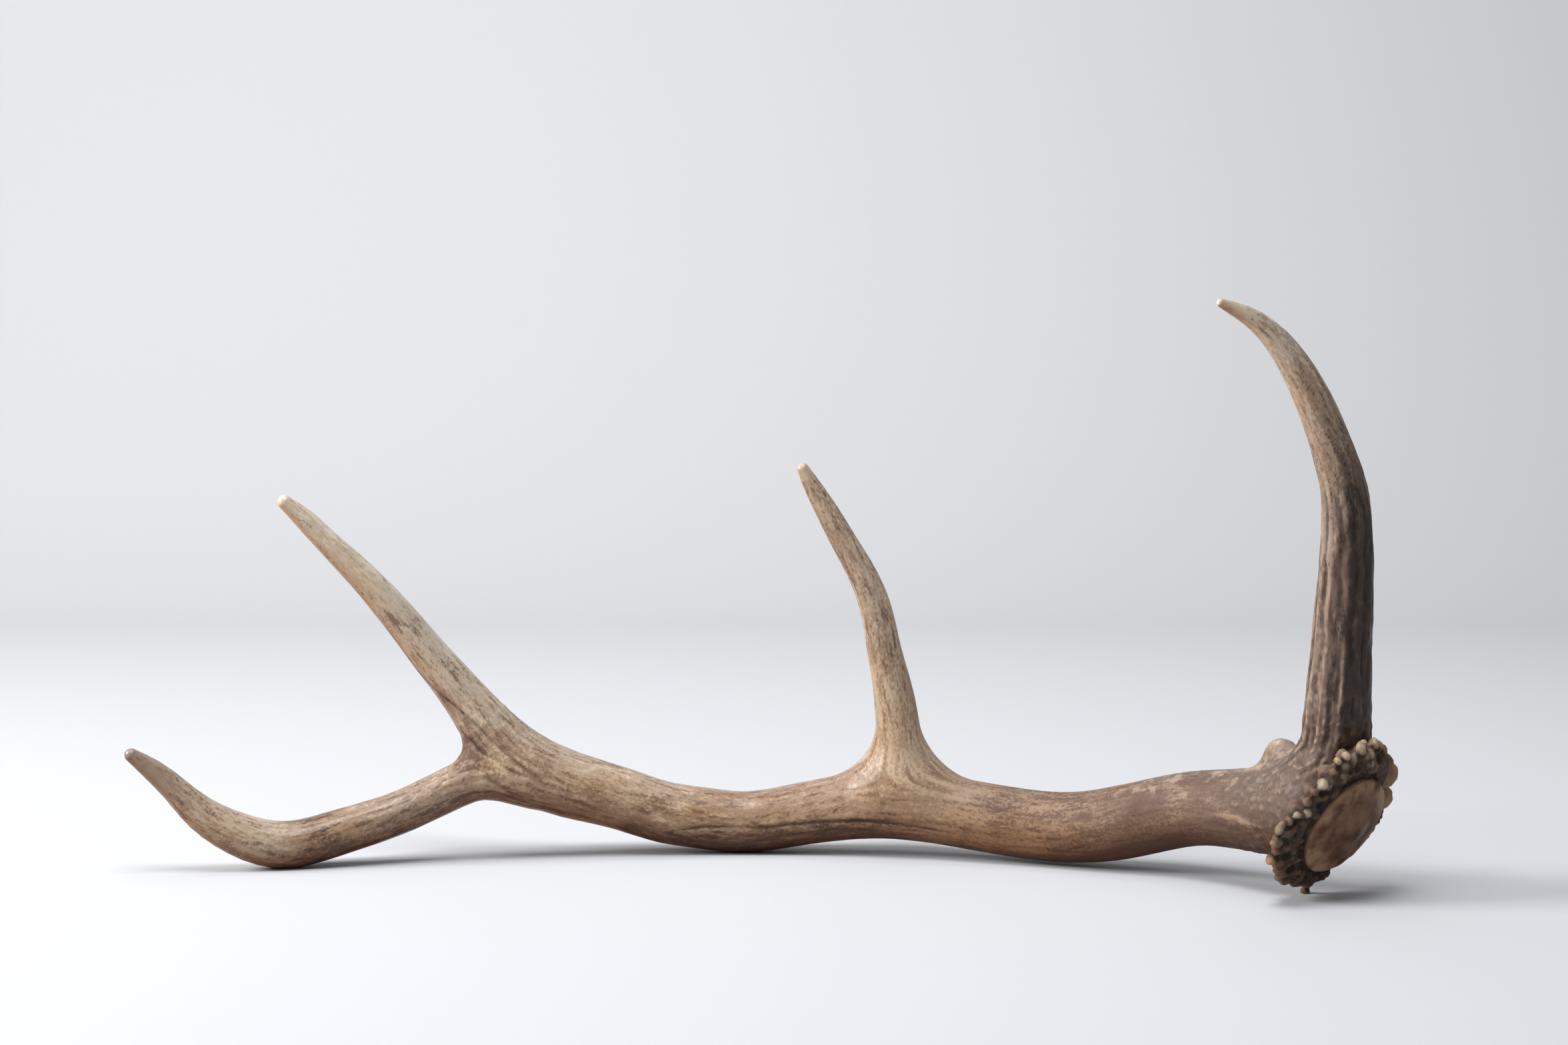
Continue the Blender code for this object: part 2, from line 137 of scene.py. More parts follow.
class Seed(IntEnum):
    """Which random field each thing is read from."""

    KNOBS = 5
    RIDGE_WANDER = 7
    RIDGE_SIZE = 8
    FINE = 11
    MID = 12
    LONG = 13
    BEAD = 14
    SWELL = 21
    BUMPS = 22
    PITS = 23
    SEAL = 24
    LUMPS = 25
    PATCH = 31
    BLOTCH = 32
    GREY = 33
    RUST = 34
    CREST = 35


class SolidNoise:
    """Smooth random fields in space, the same on every run."""

    TABLE = 256
    GAIN = 1.6
    LAYER_GAIN = 1.4
    LAYER_SHIFT = 17.0

    def __init__(self, seed: Seed) -> None:
        """Shuffle the table of slopes.

        Args:
            seed: which of the random fields this is.
        """
        draw = np.random.default_rng(seed)
        self.order = draw.permutation(self.TABLE)
        self.slopes = unit(draw.standard_normal((self.TABLE, 3)))

    def at(self, points: Array, size: float) -> Array:
        """The field at each point.

        Args:
            points: places, one a row.
            size: how far apart the field's lumps are, in the points' own unit.

        Returns:
            Values of about -1 to 1.
        """
        grid = points / size
        cell = np.floor(grid).astype(np.int64)
        part = grid - cell
        fade = part * part * part * (part * (part * 6.0 - 15.0) + 10.0)
        last = self.TABLE - 1
        total = np.zeros(len(points))
        for corner in np.ndindex(2, 2, 2):
            at = (cell + corner) & last
            key = self.order[(self.order[(self.order[at[:, 0]] + at[:, 1]) & last] + at[:, 2]) & last]
            share = np.where(corner, fade, 1.0 - fade).prod(axis=1)
            total += share * dots(self.slopes[key], part - corner)
        return total * self.GAIN

    def layered(self, points: Array, size: float, layers: int) -> Array:
        """The field with finer and fainter copies of itself added.

        Args:
            points: places, one a row.
            size: the size of the largest lumps.
            layers: how many copies there are in all.

        Returns:
            Values of about -1 to 1.
        """
        total = np.zeros(len(points))
        for layer in range(layers):
            total += self.at(points + self.LAYER_SHIFT * layer, size / 2**layer) / 2**layer
        return total / self.LAYER_GAIN


@dataclass(frozen=True)
class Cloud:
    """A random field: which one it is, how large its lumps are, and how many layers it has."""

    seed: Seed
    size: float
    layers: int = 2

    def at(self, points: Array) -> Array:
        """The field at each point."""
        return SolidNoise(self.seed).layered(points, self.size, self.layers)


def nearness(gaps: Iterable[Array], band: Band) -> Array:
    """The largest share that any of the gaps gives, from 0 to 1."""
    return np.maximum.reduce([smooth_step(gap, *band) for gap in gaps])


def in_box(points: Array, path: Array, spread: float) -> Array:
    """Which of the points are in the box round a path, or no farther than the spread from it."""
    low, high = path.min(axis=0) - spread, path.max(axis=0) + spread
    return ((points > low) & (points < high)).all(axis=1)


def join(first: Array, second: Array, fillet: float) -> Array:
    """The union of two skins, with a round fillet where they meet.

    Args:
        first: distance to one skin, negative inside it.
        second: distance to the other.
        fillet: the fillet's radius.

    Returns:
        The distance to the joined skin.
    """
    inside_first = np.maximum(fillet - first, 0.0)
    inside_second = np.maximum(fillet - second, 0.0)
    return np.maximum(fillet, np.minimum(first, second)) - np.hypot(inside_first, inside_second)


# ------------------------------------------------------------------ the antler's branches


@dataclass
class Place:
    """Where points lie along and around a branch."""

    skin: Array
    along: Array
    way: Array
    across: Array

    def flow(self) -> Array:
        """Distance along and across the branch, in metres."""
        return np.column_stack([self.along, self.across]) * MM


class Limb(IntEnum):
    """The branches, in the order in which they are kept. All but the last have a point."""

    BEAM = 0
    LOWER_CROWN = 1
    TREZ = 2
    BROW = 3
    BEZ = 4


@dataclass
class Branch:
    """One branch of the antler, a tube round a path of stations (x, y, z, radius).

    Its tones say how the bone looks along it, one row at each distance from its root:
    distance, paleness, greyness, rust, how many dark dashes.
    """

    stations: tuple[Station, ...]
    tones: tuple[Tone, ...]
    fillet: float = 0.0
    grain_reach: float = 8.0
    step: float = 7.0
    margin: float = 46.0
    block: int = 40_000
    first_side: Spot = (0.0, 1.0, 0.2)

    def __post_init__(self) -> None:
        """Lay the path out."""
        self.path = self.smooth_path()
        gaps = np.linalg.norm(np.diff(self.path[:, :3], axis=0), axis=1)
        self.marks = np.concatenate([[0.0], np.cumsum(gaps)])
        self.length = self.marks[-1]
        self.ways = unit(np.gradient(self.path[:, :3], self.marks, axis=0))
        self.sides = self.turning_frame()
        self.rises = np.cross(self.ways, self.sides)

    def smooth_path(self) -> Array:
        """A natural cubic spline through the stations, read off every few millimetres."""
        knots = np.array(self.stations, float)
        chord = np.linalg.norm(np.diff(knots[:, :3], axis=0), axis=1)
        at = np.concatenate([[0.0], np.cumsum(chord)])
        slope = np.diff(knots, axis=0) / chord[:, None]
        bend = np.zeros_like(knots)
        if len(knots) > 2:
            inner = np.diag(2.0 * (chord[:-1] + chord[1:]))
            inner += np.diag(chord[1:-1], 1) + np.diag(chord[1:-1], -1)
            bend[1:-1] = np.linalg.solve(inner, 6.0 * np.diff(slope, axis=0))
        where = np.linspace(0.0, at[-1], max(2, round(at[-1] / self.step) + 1))
        span = np.clip(np.searchsorted(at, where, side="right") - 1, 0, len(chord) - 1)
        size = chord[span, None]
        right = (where - at[span])[:, None]
        left = size - right
        cubic = (bend[span] * left**3 + bend[span + 1] * right**3) / (6.0 * size)
        start = (knots[span] / size - bend[span] * size / 6.0) * left
        end = (knots[span + 1] / size - bend[span + 1] * size / 6.0) * right
        return cubic + start + end

    def turning_frame(self) -> Array:
        """A direction across the path at each of its samples, that turns as little as it can."""
        side = unit(np.cross(self.ways[0], self.first_side))
        sides = []
        for way in self.ways:
            side = unit(side - way * (side @ way))
            sides.append(side)
        return np.array(sides)

    def near(self, points: Array) -> Array:
        """Which of the points can feel this branch, as a mask."""
        return in_box(points, self.path[:, :3], self.path[:, 3].max() + self.margin)

    def nearest(self, points: Array) -> Array:
        """The number of the path sample that is nearest to each point."""
        spots = self.path[:, :3]
        square = dots(spots, spots)
        index = np.empty(len(points), np.int64)
        for start in range(0, len(points), self.block):
            block = slice(start, start + self.block)
            index[block] = np.argmin(square - 2.0 * points[block] @ spots.T, axis=1)
        return index

    def spans(self, points: Array) -> tuple[Array, Array, Array]:
        """Which stretch of the path each point belongs to.

        Args:
            points: places, one a row.

        Returns:
            The distance to the branch's skin, the stretch's number, and how far along the
            stretch the point is, from 0 to 1.
        """
        index = self.nearest(points)
        skin = np.full(len(points), np.inf)
        stretch = np.zeros(len(points), np.int64)
        share = np.zeros(len(points))
        for shift in (-1, 0):
            here = np.clip(index + shift, 0, len(self.path) - 2)
            start = self.path[here]
            run = self.path[here + 1] - start
            offset = points - start[:, :3]
            along = np.clip(dots(offset, run[:, :3]) / dots(run[:, :3], run[:, :3]), 0.0, 1.0)
            gap = np.linalg.norm(offset - along[:, None] * run[:, :3], axis=1)
            gap -= start[:, 3] + along * run[:, 3]
            better = gap < skin
            skin = np.where(better, gap, skin)
            stretch = np.where(better, here, stretch)
            share = np.where(better, along, share)
        return skin, stretch, share

    def distance(self, points: Array) -> Array:
        """Distance from each point to the branch's skin, negative inside it."""
        return self.spans(points)[0]

    def locate(self, points: Array) -> Place:
        """Where each point lies along and around the branch.

        Args:
            points: places, one a row.

        Returns:
            The place of every point.
        """
        skin, stretch, share = self.spans(points)
        part = share[:, None]

        def between(rows: Array) -> Array:
            """The rows read off between the two ends of the stretch."""
            return rows[stretch] * (1.0 - part) + rows[stretch + 1] * part

        offset = points - between(self.path[:, :3])
        side, rise = unit(between(self.sides)), unit(between(self.rises))
        across = np.stack([dots(offset, side), dots(offset, rise)], axis=1)
        along = between(self.marks[:, None])[:, 0]
        return Place(skin, along, unit(between(self.ways)), across)

    def tone(self, along: Array) -> Array:
        """Paleness, greyness, rust and dashes at each distance along the branch."""
        rows = np.array(self.tones)
        return np.stack([np.interp(along, rows[:, 0], rows[:, k]) for k in range(1, 5)], axis=1)


@dataclass
class Beam(Branch):
    """The beam, from the burr to the crown fork, and on to the point of the upper crown tine."""

    stations: tuple[Station, ...] = (
        (283, -50, 46, 25.8), (269, -34, 41, 23.2), (247, -11, 38, 20.3),
        (231, 2, 36, 19.3), (215, 13, 31.5, 19.3), (199, 21, 26.5, 19.3),
        (172, 34, 20.5, 18.6), (131, 51, 21.5, 18.4), (96, 62, 25.5, 18.2),
        (60, 70, 26, 17.7), (25, 75, 20.5, 16.8), (-5, 77, 16.0, 16.4),
        (-30, 76, 18.5, 16.6), (-48, 75, 21.5, 16.6), (-65, 73, 27, 16.7),
        (-83, 70, 33, 17.2), (-101, 67, 38.6, 18.1), (-119, 64.5, 46.8, 18.1),
        (-136, 62, 61.5, 16.4), (-148.5, 60.5, 78, 13.2), (-160.5, 59, 94, 11.4),
        (-174, 57, 111, 10.3), (-188, 55, 129, 9.3), (-202, 52, 146, 8.3),
        (-216, 49, 161, 7.2), (-229.5, 46, 175, 6.1), (-241, 43, 187, 4.9),
        (-246.5, 41, 192, 3.8),
    )
    tones: tuple[Tone, ...] = (
        (0, 0.28, 0.50, 0.15, 0.20), (50, 0.32, 0.36, 0.22, 0.38), (120, 0.33, 0.20, 0.38, 0.50),
        (180, 0.41, 0.05, 0.40, 0.55), (235, 0.58, 0.10, 0.28, 0.58), (300, 0.56, 0.08, 0.28, 0.65),
        (345, 0.62, 0.0, 0.28, 0.78), (380, 0.74, 0.02, 0.25, 0.85), (460, 0.70, 0.12, 0.14, 0.80),
        (500, 0.69, 0.36, 0.0, 0.50), (560, 0.74, 0.32, 0.0, 0.50), (620, 0.81, 0.16, 0.0, 0.35),
        (650, 0.78, 0.18, 0.0, 0.3), (660, 0.58, 0.25, 0.0, 0.2),
    )
    grain_reach: float = 12.0


@dataclass
class LowerCrownTine(Branch):
    """The crown's lower tine, which comes down to the table and turns up to its point."""

    stations: tuple[Station, ...] = (
        (-126, 63, 44.5, 12.0), (-148, 57.5, 43, 12.0), (-166, 53, 36, 11.6),
        (-188, 46, 26.5, 11.5), (-222, 36, 16.5, 12.0), (-247, 29, 12.0, 12.4),
        (-272, 21, 20, 11.1), (-289, 16, 31.5, 9.0), (-301, 11, 44.5, 7.0),
        (-312, 7, 55.5, 5.6), (-321.7, 3, 63.5, 3.6),
    )
    tones: tuple[Tone, ...] = (
        (0, 0.64, 0.20, 0.12, 0.6), (60, 0.59, 0.22, 0.15, 0.8), (115, 0.46, 0.14, 0.14, 0.8),
        (150, 0.76, 0.18, 0.05, 0.6), (175, 0.72, 0.15, 0.0, 0.5), (205, 0.54, 0.20, 0.0, 0.3),
        (235, 0.36, 0.50, 0.0, 0.1),
    )
    fillet: float = 14.0


@dataclass
class TrezTine(Branch):
    """The tine at mid beam."""

    stations: tuple[Station, ...] = (
        (78.5, 65, 50, 12.4), (77, 64, 70, 11.8), (74.5, 62, 88, 10.7),
        (69.5, 59, 111.5, 9.2), (65, 56, 133, 8.5), (57.5, 53, 153, 7.6),
        (48, 50, 170, 6.9), (38, 47, 188, 5.8), (30.5, 45, 201, 4.6),
        (26, 43, 209.5, 3.2),
    )
    tones: tuple[Tone, ...] = (
        (0, 0.62, 0.18, 0.16, 0.45), (40, 0.66, 0.20, 0.12, 0.60), (90, 0.79, 0.25, 0.08, 0.80),
        (130, 0.74, 0.28, 0.05, 0.85), (155, 0.72, 0.26, 0.05, 0.75), (165, 0.74, 0.18, 0.0, 0.5),
        (170, 0.74, 0.14, 0.0, 0.2), (175, 0.58, 0.2, 0.0, 0.2),
    )
    fillet: float = 29.0
    grain_reach: float = 12.0


@dataclass
class BrowTine(Branch):
    """The long tine above the burr."""

    stations: tuple[Station, ...] = (
        (288, -51, 52, 18.0), (291.5, -53, 73, 17.3), (292, -55, 91, 16.9),
        (292.5, -58, 112.5, 15.6), (293.5, -62, 145, 14.3), (293.5, -66, 175, 12.9),
        (292, -70, 201, 11.6), (285, -74, 226, 10.2), (276, -78, 247, 9.2),
        (264.5, -82, 267.5, 7.8), (254, -85, 281, 6.4), (243.5, -87, 290, 4.9),
        (233, -89, 295.5, 3.3), (227, -91, 298, 2.2),
    )
    tones: tuple[Tone, ...] = (
        (0, 0.20, 0.45, 0.15, 0.2), (60, 0.08, 0.50, 0.18, 0.3), (140, 0.11, 0.50, 0.20, 0.3),
        (170, 0.40, 0.48, 0.15, 0.55), (200, 0.66, 0.42, 0.08, 0.75), (235, 0.78, 0.40, 0.02, 0.7),
        (262, 0.77, 0.35, 0.0, 0.5), (272, 0.76, 0.22, 0.0, 0.2), (279, 0.60, 0.22, 0.0, 0.1),
    )
    fillet: float = 13.0


@dataclass
class BezStub(Branch):
    """The bez tine, only a rounded stub on top of the beam behind the brow tine."""

    stations: tuple[Station, ...] = (
        (270, -26, 52, 10.0), (269.5, -24, 67, 9.2),
    )
    tones: tuple[Tone, ...] = (
        (0, 0.30, 0.40, 0.2, 0.3), (15, 0.38, 0.25, 0.3, 0.4),
    )
    fillet: float = 10.0
    grain_reach: float = 4.0


@dataclass
class Burr:
    """The lumpy ring round the antler's foot, and the domed seal that stands in it.

    Angle 0 round the ring points away from the viewer, and 90 up. One row a lump: angle in
    degrees, distance from the axis, radius, distance out along the axis, and how pale it is.
    One row a pit: the same without the paleness. One row a dent of the ring: angle, spread,
    how far it's pressed in, and how far it's pressed back.
    """

    PRESSED_IN = 2
    PRESSED_BACK = 3

    centre: Spot = (290.5, -60.2, 42)
    axis: Spot = (0.62, -0.64, -0.46)
    ring_radius: float = 33.0
    ring_width: float = 7.5
    ring_depth: float = 5.0
    dents: tuple[Station, ...] = ((152, 28, 6.0, 0.0), (315, 27, 5.0, 2.5), (22, 30, 4.5, 3.0))
    seal_radius: float = 27.8
    seal_shift: tuple[float, float] = (315.0, 1.7)
    seal_out: float = 6.0
    seal_rise: float = 5.5
    seal_root: float = 19.0
    fillet: float = 3.0
    lump_fillet: float = 1.9
    small_fillet: float = 0.6
    seal_fillet: float = 0.8
    pit_fillet: float = 0.8
    reach: float = 62.0
    lumps: tuple[Lump, ...] = (
        (8, 38.5, 6.6, -3.0, 0.55), (33, 37.2, 7.4, -3.0, 0.45), (48, 37.6, 5.2, -2.5, 0.15),
        (54, 37.2, 3.4, -2, 0.0), (66, 40.4, 3.0, -1, 0.3), (75, 42, 2.6, -1, 0.45),
        (84, 43, 2.9, -0.5, 0.7), (95.5, 44, 2.2, -0.5, 0.7), (99.5, 41.8, 3.2, 0.5, 0.75),
        (107, 38.8, 2.6, 1, 0.35), (93, 37.9, 2.3, 1.5, 0.5), (87, 38.2, 2.5, 1.5, 0.6),
        (84.5, 34, 3.1, 2, 0.5), (113, 41.8, 2.5, 0.5, 1.0), (121, 42.3, 2.2, 0.5, 0.85),
        (115.5, 37.3, 2.2, 1.5, 0.4), (119.5, 33.3, 2.7, 2, 0.6), (126, 37.5, 2.2, 1, 0.1),
        (132, 34, 2.5, 1.5, 0.15), (138.5, 36, 3.0, 1.5, 1.0), (135.5, 33.4, 2.2, 2, 0.45),
        (147, 36.5, 2.3, 1, 0.1), (150, 32.6, 2.6, 1.5, 0.05), (157, 35.5, 2.3, 1, 0.2),
        (158, 31, 2.3, 1.5, 0.0), (165, 32.2, 2.5, 2, 1.0), (169, 37, 2.1, 1, 0.8),
        (174, 33, 2.5, 1.5, 0.05), (175, 40, 2.3, 0.5, 0.2), (177, 43.3, 1.9, 0, 0.4),
        (180, 43.9, 2.2, 0, 0.55), (183, 44.3, 2.1, 0, 0.5), (184, 38.5, 3.2, 0.5, 0.1),
        (192, 41.5, 3.2, 0, 0.15), (192, 44.3, 2.0, 0, 0.35), (200, 41, 3.0, 0, 0.1),
        (201, 33.3, 1.9, 2.5, 0.6), (197, 33.6, 1.7, 2.5, 0.6), (208.5, 43.2, 2.8, -0.5, 0.55),
        (212, 39.5, 3.2, 0, 0.05), (222, 39.5, 3.2, 0.5, 0.05), (230, 34.5, 3.4, 1.5, 0.0),
        (232, 41, 2.8, 0, 0.2), (240, 39.5, 3.6, 0, 0.1), (248, 37, 3.6, 0, 0.05),
        (246, 32, 3.0, 2, 0.0), (257, 38.5, 3.4, 0, 0.05), (266, 38.5, 3.2, 0, 0.05),
        (263, 33.5, 2.6, 1.5, 0.0), (275, 41, 3.0, 0, 0.05), (276, 46.2, 2.6, 0, 0.0),
        (282, 38.5, 3.0, 0, 0.05), (291, 38.4, 2.9, 0.5, 0.1), (305, 32.5, 2.8, -1.5, 0.1),
        (318, 32, 2.8, -1.5, 0.0), (331, 36.8, 2.8, 0, 0.0), (336.5, 39.6, 2.4, 0, 0.05),
        (342, 40.6, 2.6, -0.5, 0.0), (348, 40.8, 2.5, -0.5, 0.1), (353.5, 39.5, 2.5, 0, 0.0),
        (358, 39, 2.4, -0.5, 0.1),
    )
    pits: tuple[Station, ...] = (
        (76, 37.8, 3.0, 4.6), (101.5, 34.2, 3.4, 5.4), (111, 34, 1.8, 4.8), (184, 35, 2.0, 5.2),
        (205.5, 37.6, 2.4, 4.6), (224, 35.6, 2.6, 5.0), (152, 29.5, 1.8, 5.0), (254, 35, 2.0, 4.4),
    )
    back_lumps: int = 17
    back_reach: float = 36.0
    back_out: float = -4.5
    back_sizes: tuple[float, ...] = (3.4, 2.6, 3.9)
    lump_rough: float = 0.16
    lump_grain: float = 3.4
    back_paleness: float = 0.1
    knobs: int = 60
    knob_sizes: Band = (1.3, 2.6)
    knob_band: Band = (-0.8, 0.95)
    knob_jitter: float = 0.4
    knob_sink: float = 0.2
    pit_gap: float = 1.2
    bare: Band = (-8.0, 56.0)
    smooth_radius: float = 5.0
    rough_radius: float = 3.2
    facing_out: float = 0.5
    pale_gap: Band = (0.9, 0.15)
    smooth_gap: Band = (2.2, 0.9)
    shadow_gap: Band = (1.4, 0.2)

    def __post_init__(self) -> None:
        """Work out the ring's own directions and every lump's place, size and paleness."""
        self.out_way = unit(np.array(self.axis))
        self.level = unit(np.cross((0.0, 0.0, 1.0), self.out_way))
        self.up = np.cross(self.out_way, self.level)
        self.middle = np.array(self.centre, float)
        self.seal_middle = self.place(*self.seal_shift, 0.0)
        self.balls = [(self.place(row[0], row[1], row[3]), row[2], row[4]) for row in self.lumps]
        for number in range(self.back_lumps):
            angle = 360.0 * number / self.back_lumps
            reach = self.back_reach + self.radius_at(angle) - self.ring_radius
            size = self.back_sizes[number % len(self.back_sizes)]
            self.balls.append((self.place(angle, reach, self.back_out), size, self.back_paleness))
        self.balls.extend(self.small_knobs())

    def small_knobs(self) -> list[tuple[Array, float, float]]:
        """Small dark knobs over the ring's front, at random, but not on the large smooth lumps."""
        draw = np.random.default_rng(Seed.KNOBS)
        made = []
        for number in range(self.knobs):
            angle = 360.0 * (number + draw.uniform(-self.knob_jitter, self.knob_jitter)) / self.knobs
            share = draw.uniform(*self.knob_band)
            size = draw.uniform(*self.knob_sizes)
            out = self.ring_depth * math.sqrt(1.0 - share * share) - self.knob_sink * size
            out -= self.pressed(angle, self.PRESSED_BACK)
            reach = self.radius_at(angle) + self.ring_width * share
            place = self.place(angle, reach, out)
            gaps = [np.linalg.norm(place - self.place(a, r, o)) - pit for a, r, pit, o in self.pits]
            turn = (angle + 180.0) % 360.0 - 180.0
            if min(gaps) > self.pit_gap and not self.bare[0] < turn < self.bare[1]:
                made.append((place, size, 0.0))
        return made

    def place(self, angle: float, reach: float, out: float) -> Array:
        """A place on the burr, from its angle in degrees and its two distances."""
        turn = math.radians(angle)
        spoke = math.cos(turn) * self.level + math.sin(turn) * self.up
        return self.middle + reach * spoke + out * self.out_way

    def radius_at(self, angle: Array | float) -> Array | float:
        """Radius of the ring's middle line, smaller where the ring is pressed in."""
        return self.ring_radius - self.pressed(angle, self.PRESSED_IN)

    def pressed(self, angle: Array | float, column: int) -> Array | float:
        """How far the ring is pressed in or back at an angle, by the column that is asked for."""
        total = 0.0
        for dent in self.dents:
            middle, spread = dent[:2]
            turn = (angle - middle + 180.0) % 360.0 - 180.0
            total = total + dent[column] * np.exp(-((turn / spread) ** 2))
        return total

    def polar(self, points: Array, middle: Array | None = None) -> tuple[Array, Array, Array]:
        """Each point's distance from the axis, its distance out along it, and its angle."""
        offset = points - (self.middle if middle is None else middle)
        out = offset @ self.out_way
        across = offset - out[:, None] * self.out_way
        angle = np.degrees(np.arctan2(across @ self.up, across @ self.level)) % 360.0
        return np.linalg.norm(across, axis=1), out, angle

    @staticmethod
    def oval(side: Array, rise: Array, side_radius: float, rise_radius: Array | float) -> Array:
        """Distance to an oval's edge, near enough, from its centre's two offsets."""
        scaled = np.hypot(side / side_radius, rise / rise_radius)
        steep = np.hypot(side / side_radius**2, rise / rise_radius**2)
        return scaled * (scaled - 1.0) / np.maximum(steep, SMALL)

    def ring(self, points: Array) -> Array:
        """Distance to the plain ring, before its lumps."""
        reach, out, angle = self.polar(points)
        out = out + self.pressed(angle, self.PRESSED_BACK)
        return self.oval(reach - self.radius_at(angle), out, self.ring_width, self.ring_depth)

    def seal(self, points: Array) -> Array:
        """Distance to the seal, a low dome on a deep root."""
        reach, out, _ = self.polar(points, self.seal_middle)
        above = out - self.seal_out
        rise = np.where(above > 0, self.seal_rise, self.seal_root)
        return self.oval(reach, above, self.seal_radius, rise)

    def swell(self, points: Array) -> Array:
        """How uneven a lump is at each point, so that no lump is a true ball."""
        return self.lump_rough * SolidNoise(Seed.LUMPS).at(points, self.lump_grain)

    def lump_gap(self, points: Array, swell: Array, centre: Array, radius: float) -> Array:
        """Distance from each point to a lump's skin."""
        gap = np.linalg.norm(points - centre, axis=1) - radius
        return gap - min(radius, self.rough_radius) * swell

    def pit_gaps(self, points: Array) -> Iterable[Array]:
        """Distance from each point to every pit's skin, one pit after another."""
        for angle, reach, radius, out in self.pits:
            yield np.linalg.norm(points - self.place(angle, reach, out), axis=1) - radius

    def add_to(self, points: Array, skin: Array) -> Array:
        """The skin with the burr's ring, its lumps and the seal joined on, and its pits."""
        skin = join(skin, self.ring(points), self.fillet)
        swell = self.swell(points)
        for centre, radius, _ in self.balls:
            lump = self.lump_gap(points, swell, centre, radius)
            skin = join(skin, lump, min(self.lump_fillet, self.small_fillet * radius))
        for pit in self.pit_gaps(points):
            skin = -join(-skin, pit, self.pit_fillet)
        return join(skin, self.seal(points), self.seal_fillet)

    def core(self, angle: float) -> Array:
        """The place on the ring's middle line at an angle."""
        return self.place(angle, self.radius_at(angle), -self.pressed(angle, self.PRESSED_BACK))

    def facing(self, centre: Array) -> Array:
        """The way a lump's tip points, off the ring's middle line and a little out along the axis."""
        core = self.core(self.polar(centre[None])[2][0])
        return unit(unit(centre - core) + self.facing_out * self.out_way)

    def paleness(self, points: Array) -> Array:
        """How much of a pearl's pale colour each point has, all at the tip of a small lump.

        Args:
            points: places, one a row.

        Returns:
            The shares.
        """
        total = np.zeros(len(points))
        near = np.flatnonzero(np.linalg.norm(points - self.middle, axis=1) < self.reach)
        swell = self.swell(points[near])
        for centre, radius, pale in self.balls:
            share = pale * smooth_step(self.lump_gap(points[near], swell, centre, radius), *self.pale_gap)
            if radius < self.smooth_radius:
                rise = (points[near] - centre) @ self.facing(centre) / radius
                share *= smooth_step(rise, 0.0, 1.0)
            total[near] = np.maximum(total[near], share)
        return total

    def large(self, points: Array) -> Array:
        """How much each point is on one of the large smooth lumps, from 0 to 1."""
        large = [ball for ball in self.balls if ball[1] > self.smooth_radius]
        gaps = [np.linalg.norm(points - centre, axis=1) - radius for centre, radius, _ in large]
        return nearness(gaps, self.smooth_gap)

    def shadow(self, points: Array) -> Array:
        """How deep in one of the pits each point is, from 0 to 1; it paints shadow in the pits."""
        return nearness(self.pit_gaps(points), self.shadow_gap)

    def on_ring(self, points: Array, band: Spot, depth: Band) -> Array:
        """How much each point is on the ring, from 0 to 1.

        Args:
            points: places, one a row.
            band: a distance from the axis, and the gaps from it where the share is 0 and 1.
            depth: the distances along the axis where the share is 0 and 1.

        Returns:
            The shares.
        """
        reach, out, _ = self.polar(points)
        middle, none, full = band
        return smooth_step(np.abs(reach - middle), none, full) * smooth_step(np.abs(out), *depth)


